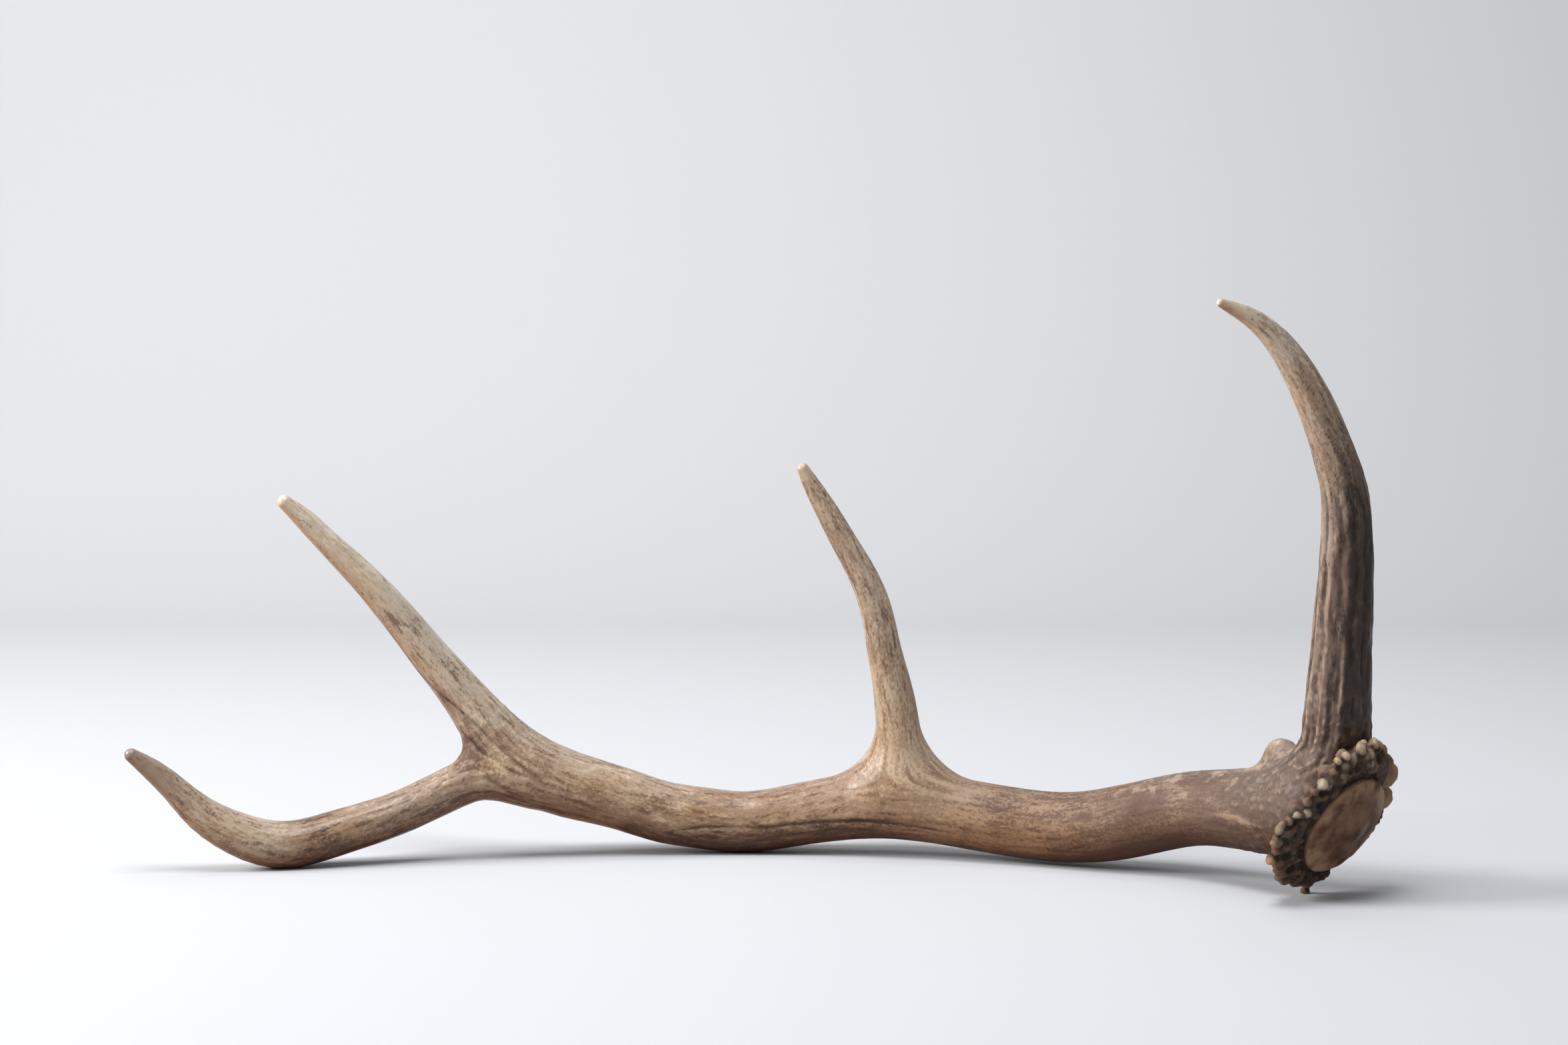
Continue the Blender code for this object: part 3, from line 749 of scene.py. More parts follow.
@dataclass
class Skin:
    """The antler's whole skin, as the distance of any point from it."""

    beam: Branch = field(default_factory=Beam)
    lower_crown: Branch = field(default_factory=LowerCrownTine)
    trez: Branch = field(default_factory=TrezTine)
    brow: Branch = field(default_factory=BrowTine)
    bez: Branch = field(default_factory=BezStub)
    burr: Burr = field(default_factory=Burr)
    ridges: int = 11
    ridge_height: float = 0.5
    ridge_flat: float = 0.5
    ridge_ends: Band = (60.0, 245.0)
    ridge_fades: Band = (25.0, 70.0)
    ridge_wander: float = 2.2
    ridge_reach: float = 19.0
    ridge_sizes: Band = (0.8, 0.7)
    flat_side: Band = (-0.1, 0.7)
    probe: float = 0.05
    least_slope: float = 0.25

    def branches(self) -> tuple[Branch, ...]:
        """Every branch, the beam first."""
        return (self.beam, self.lower_crown, self.trez, self.brow, self.bez)

    def brow_ridge(self, points: Array) -> Array:
        """Height of the brow tine's ridges over each point, from its side of the tine.

        Args:
            points: places, one a row.

        Returns:
            The heights.
        """
        path, height = self.brow.path, points[:, 2]
        order = np.argsort(path[:, 2])
        centre_x = np.interp(height, path[order, 2], path[order, 0])
        centre_y = np.interp(height, path[order, 2], path[order, 1])
        side = np.arctan2(points[:, 1] - centre_y, points[:, 0] - centre_x)
        (low, high), (rise, fall) = self.ridge_ends, self.ridge_fades
        fade = np.clip((height - low) / rise, 0.0, 1.0) * np.clip((high - height) / fall, 0.0, 1.0)
        wander = self.ridge_wander * SolidNoise(Seed.RIDGE_WANDER).at(points, self.ridge_reach)
        usual, change = self.ridge_sizes
        size = usual + change * SolidNoise(Seed.RIDGE_SIZE).at(points, self.ridge_reach)
        flat = 1.0 - self.ridge_flat * smooth_step(np.cos(side), *self.flat_side)
        return self.ridge_height * fade * flat * size * np.cos(self.ridges * side + wander)

    def distance(self, points: Array) -> Array:
        """Distance of each point from the skin, negative inside.

        Args:
            points: places, one a row.

        Returns:
            The distances.
        """
        skin = self.beam.distance(points)
        for branch in self.branches()[1:]:
            near = branch.near(points)
            bare = branch.distance(points[near])
            if branch is self.brow:
                bare -= self.brow_ridge(points[near])
            skin[near] = join(skin[near], bare, branch.fillet)
        near = np.linalg.norm(points - self.burr.middle, axis=1) < self.burr.reach
        skin[near] = self.burr.add_to(points[near], skin[near])
        return skin

    def settle(self, points: Array, longest_steps: Iterable[float]) -> Array:
        """Move points on to the skin, down the slope of the distance.

        Args:
            points: places, one a row.
            longest_steps: the longest move in each round.

        Returns:
            The moved points.
        """
        for longest in longest_steps:
            here = self.distance(points)
            slope = [self.distance(points + self.probe * way) - here for way in np.eye(3)]
            slope = np.stack(slope, axis=1) / self.probe
            steep = np.maximum(dots(slope, slope), self.least_slope)
            points = points - slope * np.clip(here / steep, -longest, longest)[:, None]
        return points


# ------------------------------------------------------------------ the skin as a mesh


@dataclass(frozen=True)
class SawCut:
    """Where a fork is parted: a point on the plane, the way it faces, and its reach."""

    place: Spot
    facing: Spot
    reach: float
    depth: float = 3.0

    def side(self, points: Array) -> Array:
        """How far each point is beyond the plane."""
        return (points - np.array(self.place)) @ unit(np.array(self.facing, float))

    def close(self, points: Array) -> Array:
        """Which points are near the cut."""
        beside = np.abs(self.side(points)) < self.depth
        return beside & (np.linalg.norm(points - np.array(self.place), axis=1) < self.reach)


def read_mesh(mesh: bpy.types.Mesh) -> tuple[Array, Array]:
    """A mesh's points in millimetres and its triangles. The mesh is removed."""
    points = np.empty(len(mesh.vertices) * 3)
    mesh.vertices.foreach_get("co", points)
    mesh.calc_loop_triangles()
    faces = np.empty(len(mesh.loop_triangles) * 3, np.int32)
    mesh.loop_triangles.foreach_get("vertices", faces)
    bpy.data.meshes.remove(mesh)
    return points.reshape(-1, 3) / MM, faces.reshape(-1, 3).astype(np.int64)


def write_mesh(name: str, points: Array, faces: Array) -> bpy.types.Mesh:
    """A new mesh from points in millimetres and triangles.

    Args:
        name: the mesh's name.
        points: places in millimetres, one a row.
        faces: triangles, as three point numbers a row.

    Returns:
        The mesh.
    """
    mesh = bpy.data.meshes.new(name)
    mesh.vertices.add(len(points))
    mesh.vertices.foreach_set("co", (points * MM).astype(np.float32).ravel())
    mesh.loops.add(faces.size)
    mesh.loops.foreach_set("vertex_index", faces.astype(np.int32).ravel())
    mesh.polygons.add(len(faces))
    mesh.polygons.foreach_set("loop_start", np.arange(0, faces.size, 3, dtype=np.int32))
    mesh.update(calc_edges=True)
    return mesh


def open_shape(mesh: bpy.types.Mesh, shape: bmesh.types.BMesh | None = None) -> bmesh.types.BMesh:
    """A shape to edit, with a mesh added to it. The mesh is removed."""
    shape = shape or bmesh.new()
    shape.from_mesh(mesh)
    bpy.data.meshes.remove(mesh)
    return shape


def close_shape(name: str, shape: bmesh.types.BMesh) -> bpy.types.Mesh:
    """A new mesh from an edited shape, which is freed."""
    mesh = bpy.data.meshes.new(name)
    shape.to_mesh(mesh)
    shape.free()
    return mesh


def put(name: str, data: bpy.types.ID) -> bpy.types.Object:
    """A new object in the scene."""
    made = bpy.data.objects.new(name, data)
    bpy.context.scene.collection.objects.link(made)
    return made


def largest_part(points: Array, faces: Array) -> tuple[Array, Array]:
    """The largest connected part of a triangle mesh, without the hollows and crumbs.

    Args:
        points: places, one a row.
        faces: triangles, as three point numbers a row.

    Returns:
        The kept points and triangles.
    """
    label = np.arange(len(points))
    while True:
        low = label[faces].min(axis=1)
        fresh = label.copy()
        for corner in range(3):
            np.minimum.at(fresh, faces[:, corner], low)
        fresh = fresh[fresh]
        if (fresh == label).all():
            break
        label = fresh
    names, counts = np.unique(label, return_counts=True)
    kept = label == names[counts.argmax()]
    number = np.cumsum(kept) - 1
    return points[kept], number[faces[kept[faces[:, 0]]]]


@dataclass
class BodyMaker:
    """Makes the antler's bare body as one closed triangle mesh."""

    skin: Skin
    coarse: float = 1.4
    fine: float = 1.05
    coarse_steps: tuple[tuple[float, ...], ...] = ((6.0, 5.0, 1.0), (2.0, 1.0))
    fine_steps: tuple[float, ...] = (1.0, 0.5)
    burr_reach: float = 50.0
    settled_margin: float = 2.0
    finer_reach: float = 25.0
    finer_out: float = -4.0
    ring_step: int = 12
    bar_smoothness: int = 6
    ball_smoothness: int = 3

    def bar(self, path: Array) -> bpy.types.Mesh:
        """A round bar along a path.

        Args:
            path: places and radii, one a row.

        Returns:
            The bar's mesh.
        """
        curve = bpy.data.curves.new("bar", "CURVE")
        curve.dimensions = "3D"
        curve.bevel_depth = MM
        curve.bevel_resolution = self.bar_smoothness
        curve.use_fill_caps = True
        spline = curve.splines.new("POLY")
        spline.points.add(len(path) - 1)
        for point, (x, y, z, radius) in zip(spline.points, path):
            point.co = (x * MM, y * MM, z * MM, 1.0)
            point.radius = radius
        return self.applied(put("bar", curve))

    @staticmethod
    def applied(obj: bpy.types.Object) -> bpy.types.Mesh:
        """A new mesh with the object's modifiers applied. The object is removed."""
        bpy.context.view_layer.update()
        graph = bpy.context.evaluated_depsgraph_get()
        mesh = bpy.data.meshes.new_from_object(obj.evaluated_get(graph))
        bpy.data.objects.remove(obj)
        return mesh

    def add_ball(self, shape: bmesh.types.BMesh, centre: Array, radius: float, flat: float = 1.0) -> None:
        """Add a ball to a shape."""
        turn = Vector(self.skin.burr.out_way).to_track_quat("Z", "Y").to_matrix().to_4x4()
        flatten = Matrix.Diagonal((1.0, 1.0, flat, 1.0))
        place = Matrix.Translation(Vector(centre[:3]) * MM) @ turn @ flatten
        size = radius * MM
        bmesh.ops.create_icosphere(shape, subdivisions=self.ball_smoothness, radius=size, matrix=place)

    def rough(self) -> bpy.types.Mesh:
        """The bars with rounded ends, the burr's lumps and the seal, all overlapping."""
        burr = self.skin.burr
        shape = bmesh.new()
        for branch in self.skin.branches():
            open_shape(self.bar(branch.path), shape)
            for end in (branch.path[0], branch.path[-1]):
                self.add_ball(shape, end, end[3])
        for centre, radius, _ in burr.balls:
            self.add_ball(shape, centre, radius)
        for angle in range(0, 360, self.ring_step):
            self.add_ball(shape, burr.core(angle), burr.ring_width, burr.ring_depth / burr.ring_width)
        for depth in (0.0, burr.seal_out):
            place = burr.seal_middle + depth * burr.out_way
            self.add_ball(shape, place, burr.seal_radius, burr.seal_rise / burr.seal_radius)
        bmesh.ops.remove_doubles(shape, verts=shape.verts, dist=SMALL)
        return close_shape("antler_rough", shape)

    def even(self, mesh: bpy.types.Mesh, voxel: float) -> tuple[Array, Array]:
        """The mesh remade as one even closed skin.

        Args:
            mesh: the shells that are melted together. It is removed.
            voxel: how large the new faces are.

        Returns:
            The largest connected part's points in millimetres, and its triangles.
        """
        body = put("antler_skin", mesh)
        remesh = body.modifiers.new("even skin", "REMESH")
        remesh.mode = "VOXEL"
        remesh.voxel_size = voxel * MM
        made = self.applied(body)
        bpy.data.meshes.remove(mesh)
        return largest_part(*read_mesh(made))

    def build(self, cuts: Sequence[SawCut]) -> tuple[Array, Array]:
        """Make the body, with points all along each cut.

        Args:
            cuts: where the forks will be parted.

        Returns:
            The body's points in millimetres, and its triangles.
        """
        points, faces = self.even(self.rough(), self.coarse)
        for number, steps in enumerate(self.coarse_steps, start=1):
            points = self.skin.settle(points, steps)
            voxel = self.fine if number == len(self.coarse_steps) else self.coarse
            points, faces = self.even(write_mesh("antler_settled", points, faces), voxel)
        points = self.skin.settle(points, self.fine_steps)
        points, faces = self.finer_burr(points, faces)
        gap = np.linalg.norm(points - self.skin.burr.middle, axis=1)
        near = gap < self.burr_reach + self.settled_margin
        points[near] = self.skin.settle(points[near], self.fine_steps)
        return self.scored(points, faces, cuts)

    def finer_burr(self, points: Array, faces: Array) -> tuple[Array, Array]:
        """The body with the edges of the burr's front halved, so that small pearls stay round.

        Args:
            points: the body's points.
            faces: the body's triangles.

        Returns:
            The finer body's points and triangles.
        """
        shape = open_shape(write_mesh("antler_even", points, faces))
        shape.edges.ensure_lookup_table()
        reach, out, _ = self.skin.burr.polar(points)
        inside = (reach > self.finer_reach) & (reach < self.burr_reach) & (out > self.finer_out)
        ends = np.array([[vert.index for vert in edge.verts] for edge in shape.edges])
        chosen = [shape.edges[number] for number in np.flatnonzero(inside[ends].all(axis=1))]
        bmesh.ops.subdivide_edges(shape, edges=chosen, cuts=1, use_grid_fill=True)
        bmesh.ops.triangulate(shape, faces=[face for face in shape.faces if len(face.verts) > 3])
        return read_mesh(close_shape("antler_finer", shape))

    @staticmethod
    def scored(points: Array, faces: Array, cuts: Sequence[SawCut]) -> tuple[Array, Array]:
        """The body with its triangles split along each cut's plane.

        Args:
            points: the body's points.
            faces: the body's triangles.
            cuts: where it is split.

        Returns:
            The split body's points and triangles.
        """
        shape = open_shape(write_mesh("antler_finer", points, faces))
        shape.faces.ensure_lookup_table()
        middles = points[faces].mean(axis=1)
        rings = [[shape.faces[number] for number in np.flatnonzero(cut.close(middles))] for cut in cuts]
        for cut, ring in zip(cuts, rings):
            around = set(ring)
            for face in ring:
                around.update(face.verts)
                around.update(face.edges)
            bmesh.ops.bisect_plane(
                shape,
                geom=list(around),
                dist=SMALL,
                plane_co=Vector(cut.place) * MM,
                plane_no=Vector(cut.facing).normalized(),
            )
        return read_mesh(close_shape("antler_scored", shape))


class Surface:
    """The whole body as one triangle mesh, with the sums that its relief and marks need."""

    def __init__(self, points: Array, faces: Array) -> None:
        """Keep the mesh and work out its normals.

        Args:
            points: places in millimetres, one a row.
            faces: triangles, as three point numbers a row.
        """
        self.points = points
        self.faces = faces
        self.degree = 2.0 * np.bincount(faces.ravel(), minlength=len(points))
        self.normals = self.find_normals()

    def find_normals(self) -> Array:
        """Each point's normal, from the triangles round it by their area."""
        a, b, c = (self.points[self.faces[:, k]] for k in range(3))
        flat = np.cross(b - a, c - a)
        total = [
            sum(np.bincount(self.faces[:, k], flat[:, axis], len(self.points)) for k in range(3))
            for axis in range(3)
        ]
        return unit(np.stack(total, axis=1))

    def ring_mean(self, values: Array) -> Array:
        """The mean of the neighbours' values at each point."""
        a, b, c = self.faces.T
        total = np.bincount(a, values[b] + values[c], len(values))
        total += np.bincount(b, values[a] + values[c], len(values))
        total += np.bincount(c, values[a] + values[b], len(values))
        return total / self.degree

    def blurred(self, values: Array, rounds: int) -> Array:
        """The values spread over their neighbours, a number of times."""
        for _ in range(rounds):
            values = 0.5 * (values + self.ring_mean(values))
        return values

    def hollow(self, rounds: int) -> Array:
        """How far each point lies under the smoothed skin, negative on a lump."""
        smooth = np.stack([self.blurred(self.points[:, k], rounds) for k in range(3)], axis=1)
        return dots(smooth - self.points, self.normals)

    def raise_by(self, height: Array) -> None:
        """Move every point out along its normal, and keep the antler on the table."""
        self.points = self.points + self.normals * height[:, None]
        self.points[:, 2] = np.maximum(self.points[:, 2], 0.0)
        self.normals = self.find_normals()


# ------------------------------------------------------------------ the grain


@dataclass
class Channel:
    """A random field that is drawn out along the grain."""

    values: Array
    spread: float


class Grain:
    """Lines that follow the grain over the surface, from branch to branch through the forks."""

    CELL = 1.3
    STEP = 1.3
    EDGE_CELLS = 3
    LEAST_WEIGHT = 1e-9
    LEAST_SHARE = 0.02
    FIRST_WAY = (0.31, 0.77, 0.55)

    def __init__(self, surface: Surface, skin: Skin) -> None:
        """Find each point's grain direction, and file the points in a grid of cells.

        Args:
            surface: the body.
            skin: the branches that the grain runs along.
        """
        self.surface = surface
        self.places = [branch.locate(surface.points) for branch in skin.branches()]
        self.weights = [
            np.exp(-((np.maximum(place.skin, 0.0) / branch.grain_reach) ** 2)) + self.LEAST_WEIGHT
            for place, branch in zip(self.places, skin.branches())
        ]
        self.ways = self.directions()
        self.low = surface.points.min(axis=0) - self.EDGE_CELLS * self.CELL
        self.cells = self.filed()

    def directions(self) -> Array:
        """The grain's direction at each point: the branches' own, blended as lines."""
        normals = self.surface.normals
        first = unit(np.cross(normals, self.FIRST_WAY))
        second = np.cross(normals, first)
        both = np.zeros(len(normals))
        cross = np.zeros(len(normals))
        for place, weight in zip(self.places, self.weights):
            one, two = dots(place.way, first), dots(place.way, second)
            both += weight * (one * one - two * two)
            cross += weight * 2.0 * one * two
        angle = 0.5 * np.arctan2(cross, both)
        return np.cos(angle)[:, None] * first + np.sin(angle)[:, None] * second

    def filed(self) -> Array:
        """A grid of cells over the antler's box, each with the number of a point near it."""
        spot = ((self.surface.points - self.low) / self.CELL).astype(np.int64)
        cells = np.full(spot.max(axis=0) + 4, -1, np.int32)
        cells[tuple(spot.T)] = np.arange(len(spot))
        for axis in range(3):
            for shift in (-1, 1):
                moved = np.roll(cells, shift, axis=axis)
                cells = np.where(cells < 0, moved, cells)
        return cells

    def look_up(self, points: Array, before: Array) -> Array:
        """The number of the body's point near each place, or the one before."""
        spot = ((points - self.low) / self.CELL).astype(np.int64)
        spot = np.clip(spot, 0, np.array(self.cells.shape) - 1)
        found = self.cells[tuple(spot.T)]
        return np.where(found < 0, before, found)

    def drawn_out(self, channels: dict[str, Channel], reach: float) -> Marking:
        """Each field averaged along the grain line through every point.

        Args:
            channels: the fields, with how far each is drawn out.
            reach: how far the longest line goes, each way.

        Returns:
            The drawn out fields, with a mean of 0 and a spread of 1.
        """
        total = {name: channel.values.copy() for name, channel in channels.items()}
        for sense in (1.0, -1.0):
            spots = self.surface.points.copy()
            index = np.arange(len(spots))
            way = self.ways * sense
            for number in range(1, round(reach / self.STEP) + 1):
                spots = spots + self.STEP * way
                index = self.look_up(spots, index)
                normal = self.surface.normals[index]
                lift = dots(spots - self.surface.points[index], normal)
                spots -= normal * lift[:, None]
                fresh = self.ways[index]
                way = fresh * np.where(dots(fresh, way) < 0.0, -1.0, 1.0)[:, None]
                for name, channel in channels.items():
                    share = math.exp(-0.5 * (number * self.STEP / channel.spread) ** 2)
                    if share > self.LEAST_SHARE:
                        total[name] += share * channel.values[index]
        return {name: (values - values.mean()) / values.std() for name, values in total.items()}


# ------------------------------------------------------------------ relief and marks


@dataclass(frozen=True)
class Stroke:
    """One groove, ridge, stain or painted shadow that runs along a line on the side that is seen first.
    """

    path: tuple[Spot, ...]
    width: float
    depth: float = 0.0
    stain: float = 0.0
    taper: float = 12.0
    reach: float = 3.0
    lead: float = 0.3
    end_width: float = 0.4

    def share(self, points: Array) -> Array:
        """How much of the stroke each point has.

        Args:
            points: places in millimetres, one a row.

        Returns:
            Shares from 0 to 1, which fade to the sides and to both ends.
        """
        path = np.array(self.path, float)
        near = in_box(points, path, self.reach * self.width)
        chosen = points[near]
        best, along = np.full(len(chosen), np.inf), np.zeros(len(chosen))
        done = 0.0
        for start, end in zip(path[:-1], path[1:]):
            run = end - start
            size = np.linalg.norm(run)
            part = np.clip((chosen - start) @ run / size**2, 0.0, 1.0)
            gap = np.linalg.norm(chosen - start - part[:, None] * run, axis=1)
            closer = gap < best
            best = np.where(closer, gap, best)
            along = np.where(closer, done + part * size, along)
            done += size
        from_end = np.minimum(along, done - along) + self.lead * self.width
        fade = smooth_step(from_end, 0.0, min(self.taper, done / 2))
        width = self.width * (self.end_width + (1.0 - self.end_width) * fade)
        total = np.zeros(len(points))
        total[near] = fade * np.exp(-((best / width) ** 2))
        return total


CROTCH = Stroke(((-162.0, 50.0, 62.0), (-140.0, 45.0, 56.0)), width=12.0, stain=1.5)
STROKES = (
    CROTCH,
    Stroke(((-171.0, 50.0, 93.0), (-157.0, 48.0, 74.0)), width=7.0, stain=1.1),
    Stroke(
        (
            (-52.3, 62.8, 10.9), (-39.7, 59.9, 14.3), (-25.4, 59.7, 16.1), (6.7, 60.1, 16.0),
            (24.6, 58.4, 17.8), (42.4, 55.9, 19.6), (56.6, 53.4, 20.4), (77.0, 48.6, 19.4),
            (95.3, 45.3, 16.8), (113.1, 39.9, 14.5),
        ),
        width=1.0, depth=0.5, stain=1.0, taper=30.0,
    ),
    Stroke(
        (
            (-197.9, 45.9, 134.6), (-193.9, 50.0, 123.8), (-179.7, 53.6, 102.4),
            (-174.0, 52.8, 95.7), (-157.7, 48.8, 82.0), (-146.7, 47.0, 72.3),
            (-132.4, 44.9, 59.0), (-121.2, 44.7, 49.8), (-110.4, 46.8, 43.4), (-104.1, 48.1, 40.3),
        ),
        width=0.9, depth=0.35, stain=1.0, taper=25.0,
    ),
    Stroke(
        ((-156.5, 53.6, 69.5), (-145.3, 46.7, 59.8), (-127.5, 44.0, 48.4), (-117.0, 45.3, 43.2)),
        width=1.1, depth=0.4, stain=1.2,
    ),
    Stroke(
        (
            (-173.2, 41.4, 39.2), (-153.0, 44.9, 45.5), (-137.0, 44.0, 48.8),
            (-121.2, 44.8, 44.0), (-107.3, 47.9, 38.5),
        ),
        width=1.0, depth=-0.2, stain=-0.5,
    ),
    Stroke(
        ((-152.5, 47.1, 50.8), (-139.9, 44.6, 54.8), (-127.5, 44.1, 51.3), (-117.0, 45.2, 45.8)),
        width=0.9, depth=-0.15, stain=-0.45,
    ),
    Stroke(((-181.0, 49.3, 131.0), (-176.0, 48.2, 123.5)), width=2.6, stain=0.7),
    Stroke(
        ((-125.0, 56.0, 66.0), (-105.0, 57.0, 55.0), (-83.0, 58.0, 48.0), (-60.0, 60.0, 41.0)),
        width=9.0, stain=-0.35,
    ),
    # painted contact shadow along the beam's underside, where it lies near the table
    Stroke(
        ((-75.0, 62.0, 16.0), (-40.0, 62.0, 5.0), (0.0, 63.0, 3.0), (45.0, 58.0, 8.0), (85.0, 50.0, 8.0)),
        width=10.0, stain=1.1,
    ),
    Stroke(((166.0, 17.0, 29.0), (179.0, 12.0, 30.0)), width=2.2, depth=0.15, stain=0.7),
    Stroke(((43.0, 53.0, 41.0), (57.0, 50.0, 49.0)), width=7.0, stain=0.7),
    Stroke(
        ((60.0, 50.0, 13.0), (100.0, 41.0, 10.0), (130.0, 32.0, 8.0), (160.0, 22.0, 9.0)),
        width=7.0, stain=-0.6,
    ),
    Stroke(
        ((281.0, -72.0, 140.0), (281.0, -76.0, 185.0), (277.0, -80.0, 212.0), (264.0, -86.0, 245.0)),
        width=5.0, stain=-0.8, taper=30.0,
    ),
    Stroke(((190.2, 4.1, 29.5), (216.3, -7.3, 45.4)), width=6.0, stain=0.35),
    Stroke(
        ((232.9, -25.6, 38), (243.1, -37.7, 38), (254.6, -51.3, 33.9)),
        width=2.0, depth=-0.25, stain=-0.7,
    ),
    Stroke(
        ((230.3, -4.5, 55.3), (245.9, -15.5, 58.4), (260.2, -33.9, 63.3)),
        width=2.6, depth=-0.2, stain=-0.6,
    ),
)


@dataclass
class Relief:
    """The bone's relief: grooves, ridges, bumps and pits, in millimetres.

    A band holds where a share is 0 and where it is 1. One row a streak: its name, its random
    field, how large the field's lumps are, and how far they are drawn out along the grain.
    """

    skin: Skin
    streak_rows: tuple[tuple[str, Seed, float, float], ...] = (
        ("fine", Seed.FINE, 1.6, 3.6),
        ("mid", Seed.MID, 2.8, 11.0),
        ("long", Seed.LONG, 5.2, 24.0),
        ("bead", Seed.BEAD, 2.9, 2.6),
    )
    reach: float = 56.0
    groove: float = 0.06
    furrow: float = 0.07
    furrow_rise: float = 0.8
    soft_rounds: int = 2
    brow_groove: float = 0.2
    brow_bead: float = 0.16
    brow_x: Band = (200.0, 240.0)
    brow_foot: Band = (48.0, 76.0)
    brow_top: Band = (262.0, 175.0)
    tip_band: Band = (70.0, 8.0)
    calm: float = 0.8
    lump_calm: float = 0.85
    swell: float = 0.22
    swell_cloud: Cloud = Cloud(Seed.SWELL, 26.0)
    bump: float = 0.6
    bump_floor: float = -0.2
    bump_band: Band = (78.0, 42.0)
    bump_cloud: Cloud = Cloud(Seed.BUMPS, 4.2)
    pit: float = 0.40
    pit_sizes: Band = (1.6, 0.5)
    pit_cloud: Cloud = Cloud(Seed.PITS, 3.2)
    ring_band: Spot = (36.0, 13.0, 6.0)
    ring_depth: Band = (15.0, 8.0)
    seal_rough: float = 0.16
    seal_cloud: Cloud = Cloud(Seed.SEAL, 4.0, 3)
    seal_inset: float = 0.4
    seal_edge: float = 0.6
    seal_band: Band = (3.0, 5.0)

    def streaks(self, grain: Grain) -> Marking:
        """The random fields drawn out along the grain."""
        points = grain.surface.points
        channels = {
            name: Channel(SolidNoise(seed).at(points, size), spread)
            for name, seed, size, spread in self.streak_rows
        }
        return grain.drawn_out(channels, self.reach)

    def tip(self, grain: Grain) -> Array:
        """How near each point is to a tine's point, from 0 to 1."""
        total = np.zeros(len(grain.surface.points))
        branches = self.skin.branches()[: Limb.BEZ]
        for branch, place, weight in zip(branches, grain.places, grain.weights):
            near = smooth_step(branch.length - place.along, *self.tip_band)
            total = np.maximum(total, near * weight)
        return total

    def brow(self, grain: Grain) -> Array:
        """How strongly each point has the brow tine's ridges, from 0 to 1."""
        x, _, z = grain.surface.points.T
        share = grain.weights[Limb.BROW] * smooth_step(x, *self.brow_x)
        return share * smooth_step(z, *self.brow_top) * smooth_step(z, *self.brow_foot)

    def on_seal(self, points: Array) -> Array:
        """Which points are on the seal, from 0 to 1."""
        burr = self.skin.burr
        reach, out, _ = burr.polar(points, burr.seal_middle)
        edge = burr.seal_radius - self.seal_inset
        inside = smooth_step(reach, edge + self.seal_edge, edge - self.seal_edge)
        return inside * smooth_step(out, *self.seal_band)

    def along_grain(self, grain: Grain, streaks: Marking) -> Array:
        """The grooves and ridges that follow the grain.

        Args:
            grain: the grain lines.
            streaks: the fields that were drawn out along them.

        Returns:
            Heights in millimetres.
        """
        furrow = self.furrow_rise - np.abs(streaks["long"])
        total = self.groove * streaks["mid"] + self.furrow * furrow
        total = (1.0 - self.calm * self.tip(grain)) * total
        beads = self.brow_groove * streaks["mid"] + self.brow_bead * streaks["bead"]
        total += self.brow(grain) * beads
        total = grain.surface.blurred(total, self.soft_rounds)
        return total * (1.0 - self.calm * CROTCH.share(grain.surface.points))

    def on_burr(self, points: Array) -> Iterable[Array]:
        """The burr's bumps, its pits and the seal's roughness, one after another.

        Args:
            points: places, one a row.

        Returns:
            Heights in millimetres, three times.
        """
        burr = self.skin.burr
        low = smooth_step(np.linalg.norm(points - burr.middle, axis=1), *self.bump_band)
        ring = burr.on_ring(points, self.ring_band, self.ring_depth)
        smooth = 1.0 - self.calm * burr.paleness(points)
        smooth *= 1.0 - self.lump_calm * burr.large(points)
        seal = self.on_seal(points)
        bumps = np.maximum(self.bump_cloud.at(points), self.bump_floor)
        yield self.bump * low * (1.0 - seal) * smooth * bumps
        gain, sink = self.pit_sizes
        pits = np.abs(self.pit_cloud.at(points)) * gain - sink
        yield ring * (1.0 - seal) * smooth * self.pit * pits
        yield seal * self.seal_rough * self.seal_cloud.at(points)

    def make(self, grain: Grain, streaks: Marking) -> Array:
        """Work out, and keep, how far each point is raised.

        Args:
            grain: the grain lines.
            streaks: the fields that were drawn out along them.

        Returns:
            Heights in millimetres.
        """
        points = grain.surface.points
        total = self.along_grain(grain, streaks)
        total += self.swell * self.swell_cloud.at(points)
        for stroke in STROKES:
            total -= stroke.depth * stroke.share(points)
        for part in self.on_burr(points):
            total += part
        self.made = total
        return total


